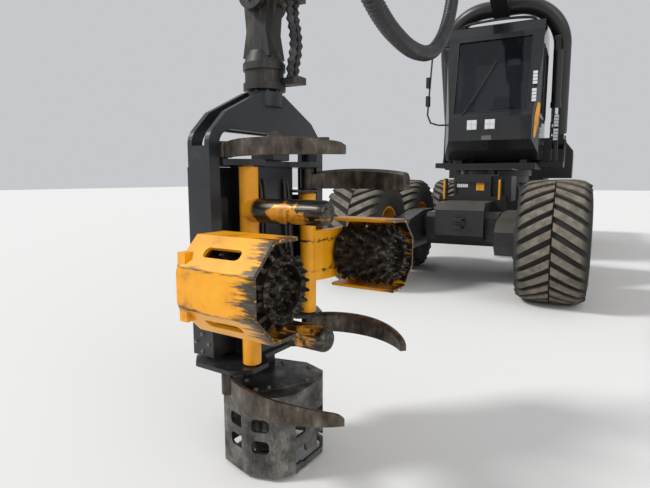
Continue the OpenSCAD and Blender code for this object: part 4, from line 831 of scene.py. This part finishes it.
# Delimbing knives
# Forged boron steel, ground at the edge and polished by bark along the inside, with
# brown streaks across the blade.
knife_steel, shader, spot = start_material("boron_steel_knife", Metallic=0.85)
drawn = add_node(knife_steel, "ShaderNodeMapping", {"Scale": (9, 9, 5)}, {"Vector": spot})
streak = add_noise(knife_steel, drawn, scale=2, detail=7, roughness=0.65)
tone = add_ramp(knife_steel, streak, (0.34, "#38322c"), (0.56, "#625a51"), (0.74, "#92877a"))
sheen = add_node(knife_steel, "ShaderNodeMapRange", {"To Min": 0.25, "To Max": 0.6}, {"Value": streak})
bump = add_bump(knife_steel, streak, strength=0.2, distance=0.002)
feed(knife_steel, shader, Base_Color=tone, Roughness=sheen, Normal=bump)
# Each blade is a section spun round the stem. Its heights are shares of the blade's
# own height, which swells along the back and falls to the tip.
stem_x = 0.3
blade_radius, blade_half, edge_half = 0.403, 0.015, 0.004
knife_start, knife_turn = math.radians(133), math.radians(-88)
tip_share = 0.07
boss_radius, pin_radius = 0.034, 0.018
blade_section = ((-blade_half, 0), (blade_half, 0), (blade_half, 1), (edge_half, 1), (-blade_half, 0.86))
for node, name, side, low, high, pin_low, pin_high, swell, taper in (
        ("knife_upper_near", "upper_near_blade", -1, 1.436, 1.5, 1.405, 1.436, 0.25, 0.1),
        ("knife_upper_far", "upper_far_blade", 1, 1.301, 1.401, 1.285, 1.43, 0.25, 0.0),
        ("knife_lower_near", "lower_near_blade", -1, 0.43, 0.52, 0.43, 0.545, 0.15, 0.4),
        ("knife_lower_far", "lower_far_blade", 1, 0.554, 0.654, 0.525, 0.68, 0.1, 0.5)):
    shape = bmesh.new()
    strip = [shape.verts.new((blade_radius + out, 0, z)) for out, z in blade_section]
    bmesh.ops.rotate(shape, verts=strip, matrix=Matrix.Rotation(knife_start, 3, "Z"))
    face = shape.faces.new(strip)
    bmesh.ops.spin(shape, geom=[*strip, *face.edges, face], cent=(0, 0, 0), axis=(0, 0, 1),
                   angle=knife_turn, steps=36, use_merge=False, use_duplicate=False)
    for vert in shape.verts:
        along = min(1, max(0, (knife_start - math.atan2(vert.co.y, vert.co.x)) / abs(knife_turn)))
        back = 1 - swell + swell * math.sin(math.pi * along ** 0.8) - taper * along ** 4
        tip = max(0, along - 1 + tip_share) / tip_share
        back *= 1 - 0.3 * (1 - math.sqrt(max(0, 1 - tip * tip)))
        vert.co.z = low + (high - low) * back * vert.co.z
    bmesh.ops.recalc_face_normals(shape, faces=shape.faces)
    for radius, segments, foot, top in ((boss_radius, 40, low, high), (pin_radius, 32, pin_low, pin_high)):
        pin_middle = Matrix.Translation((-0.275, 0.312, (foot + top) / 2))
        bmesh.ops.create_cone(shape, cap_ends=True, segments=segments, radius1=radius, radius2=radius,
                              depth=top - foot, matrix=pin_middle)
    if side < 0:
        bmesh.ops.scale(shape, verts=shape.verts, vec=(1, -1, 1))
    to_stem = head_world @ Matrix.Translation((stem_x, side * -0.015, 0))
    bmesh.ops.transform(shape, verts=shape.verts, matrix=to_stem)
    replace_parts(made_piece(name, shape, knife_steel, node), node)

# Fixed top knife
# A bent plate at the head's top whose lower edge is notched to an arch. It leans on
# the stem's upper side and is bolted to the body by a foot.
arch_half = math.radians(68)
edge_low, notch_high = 1.504, 0.016
# The section's lower corners stand at 0 until the notch is cut
arch_section = ((0.2, 0), (0.225, 0), (0.225, 1.54), (0.2, 1.543))
shape = bmesh.new()
strip = [shape.verts.new((r, 0, z)) for r, z in arch_section]
bmesh.ops.rotate(shape, verts=strip, matrix=Matrix.Rotation(math.pi - arch_half, 3, "Z"))
face = shape.faces.new(strip)
bmesh.ops.spin(shape, geom=[*strip, *face.edges, face], cent=(0, 0, 0), axis=(0, 0, 1),
               angle=2 * arch_half, steps=32, use_merge=False, use_duplicate=False)
for vert in shape.verts:
    if vert.co.z < 1:
        aside = math.atan2(-vert.co.y, -vert.co.x) / arch_half
        vert.co.z = edge_low + notch_high * max(0, math.cos(aside * math.pi / 2)) ** 0.5
bmesh.ops.transform(shape, verts=shape.verts, matrix=head_world @ Matrix.Translation((stem_x, 0, 0)))
made_piece("top_knife", shape, knife_steel, "head")
shape = bmesh.new()
foot_place = head_frame @ Vector((0.028, 0, 1.471))
soft_box(shape, foot_place, (0.13, 0.12, 0.08), edge=0.005, turn=Matrix.Rotation(head_yaw, 4, "Z"))
made_piece("top_knife_foot", shape, charcoal_enamel, "head")

# Floor and light
# A plain pale floor, an even pale sky and two soft suns, at a level at which a
# colour shows about as it is written.
floor_half = 60
suns = (("key_light", 2.1, (48, 0, 35), 12), ("fill_light", 0.6, (60, 0, 150), 40))
floor_mesh = bmesh.new()
bmesh.ops.create_grid(floor_mesh, x_segments=1, y_segments=1, size=floor_half)
floor_data = bpy.data.meshes.new("studio_floor")
floor_mesh.to_mesh(floor_data)
floor_mesh.free()
floor = bpy.data.objects.new("studio_floor", floor_data)
bpy.context.scene.collection.objects.link(floor)
floor_paint, shader = start_material("pale_floor", Roughness=0.9)[:2]
shader.inputs["Base Color"].default_value = hex_colour("#e6e5e2")
floor.data.materials.append(floor_paint)

world = bpy.data.worlds.new("studio")
bpy.context.scene.world = world
world.use_nodes = True
sky = world.node_tree.nodes["Background"]
sky.inputs["Color"].default_value = (0.83, 0.85, 0.88, 1)
sky.inputs["Strength"].default_value = 0.68
for name, energy, turn, angle in suns:
    lamp_data = bpy.data.lights.new(name, "SUN")
    lamp_data.energy = energy
    lamp_data.angle = math.radians(angle)
    lamp = bpy.data.objects.new(name, lamp_data)
    lamp.rotation_euler = [math.radians(v) for v in turn]
    bpy.context.scene.collection.objects.link(lamp)
bpy.context.scene.view_settings.view_transform = "Standard"
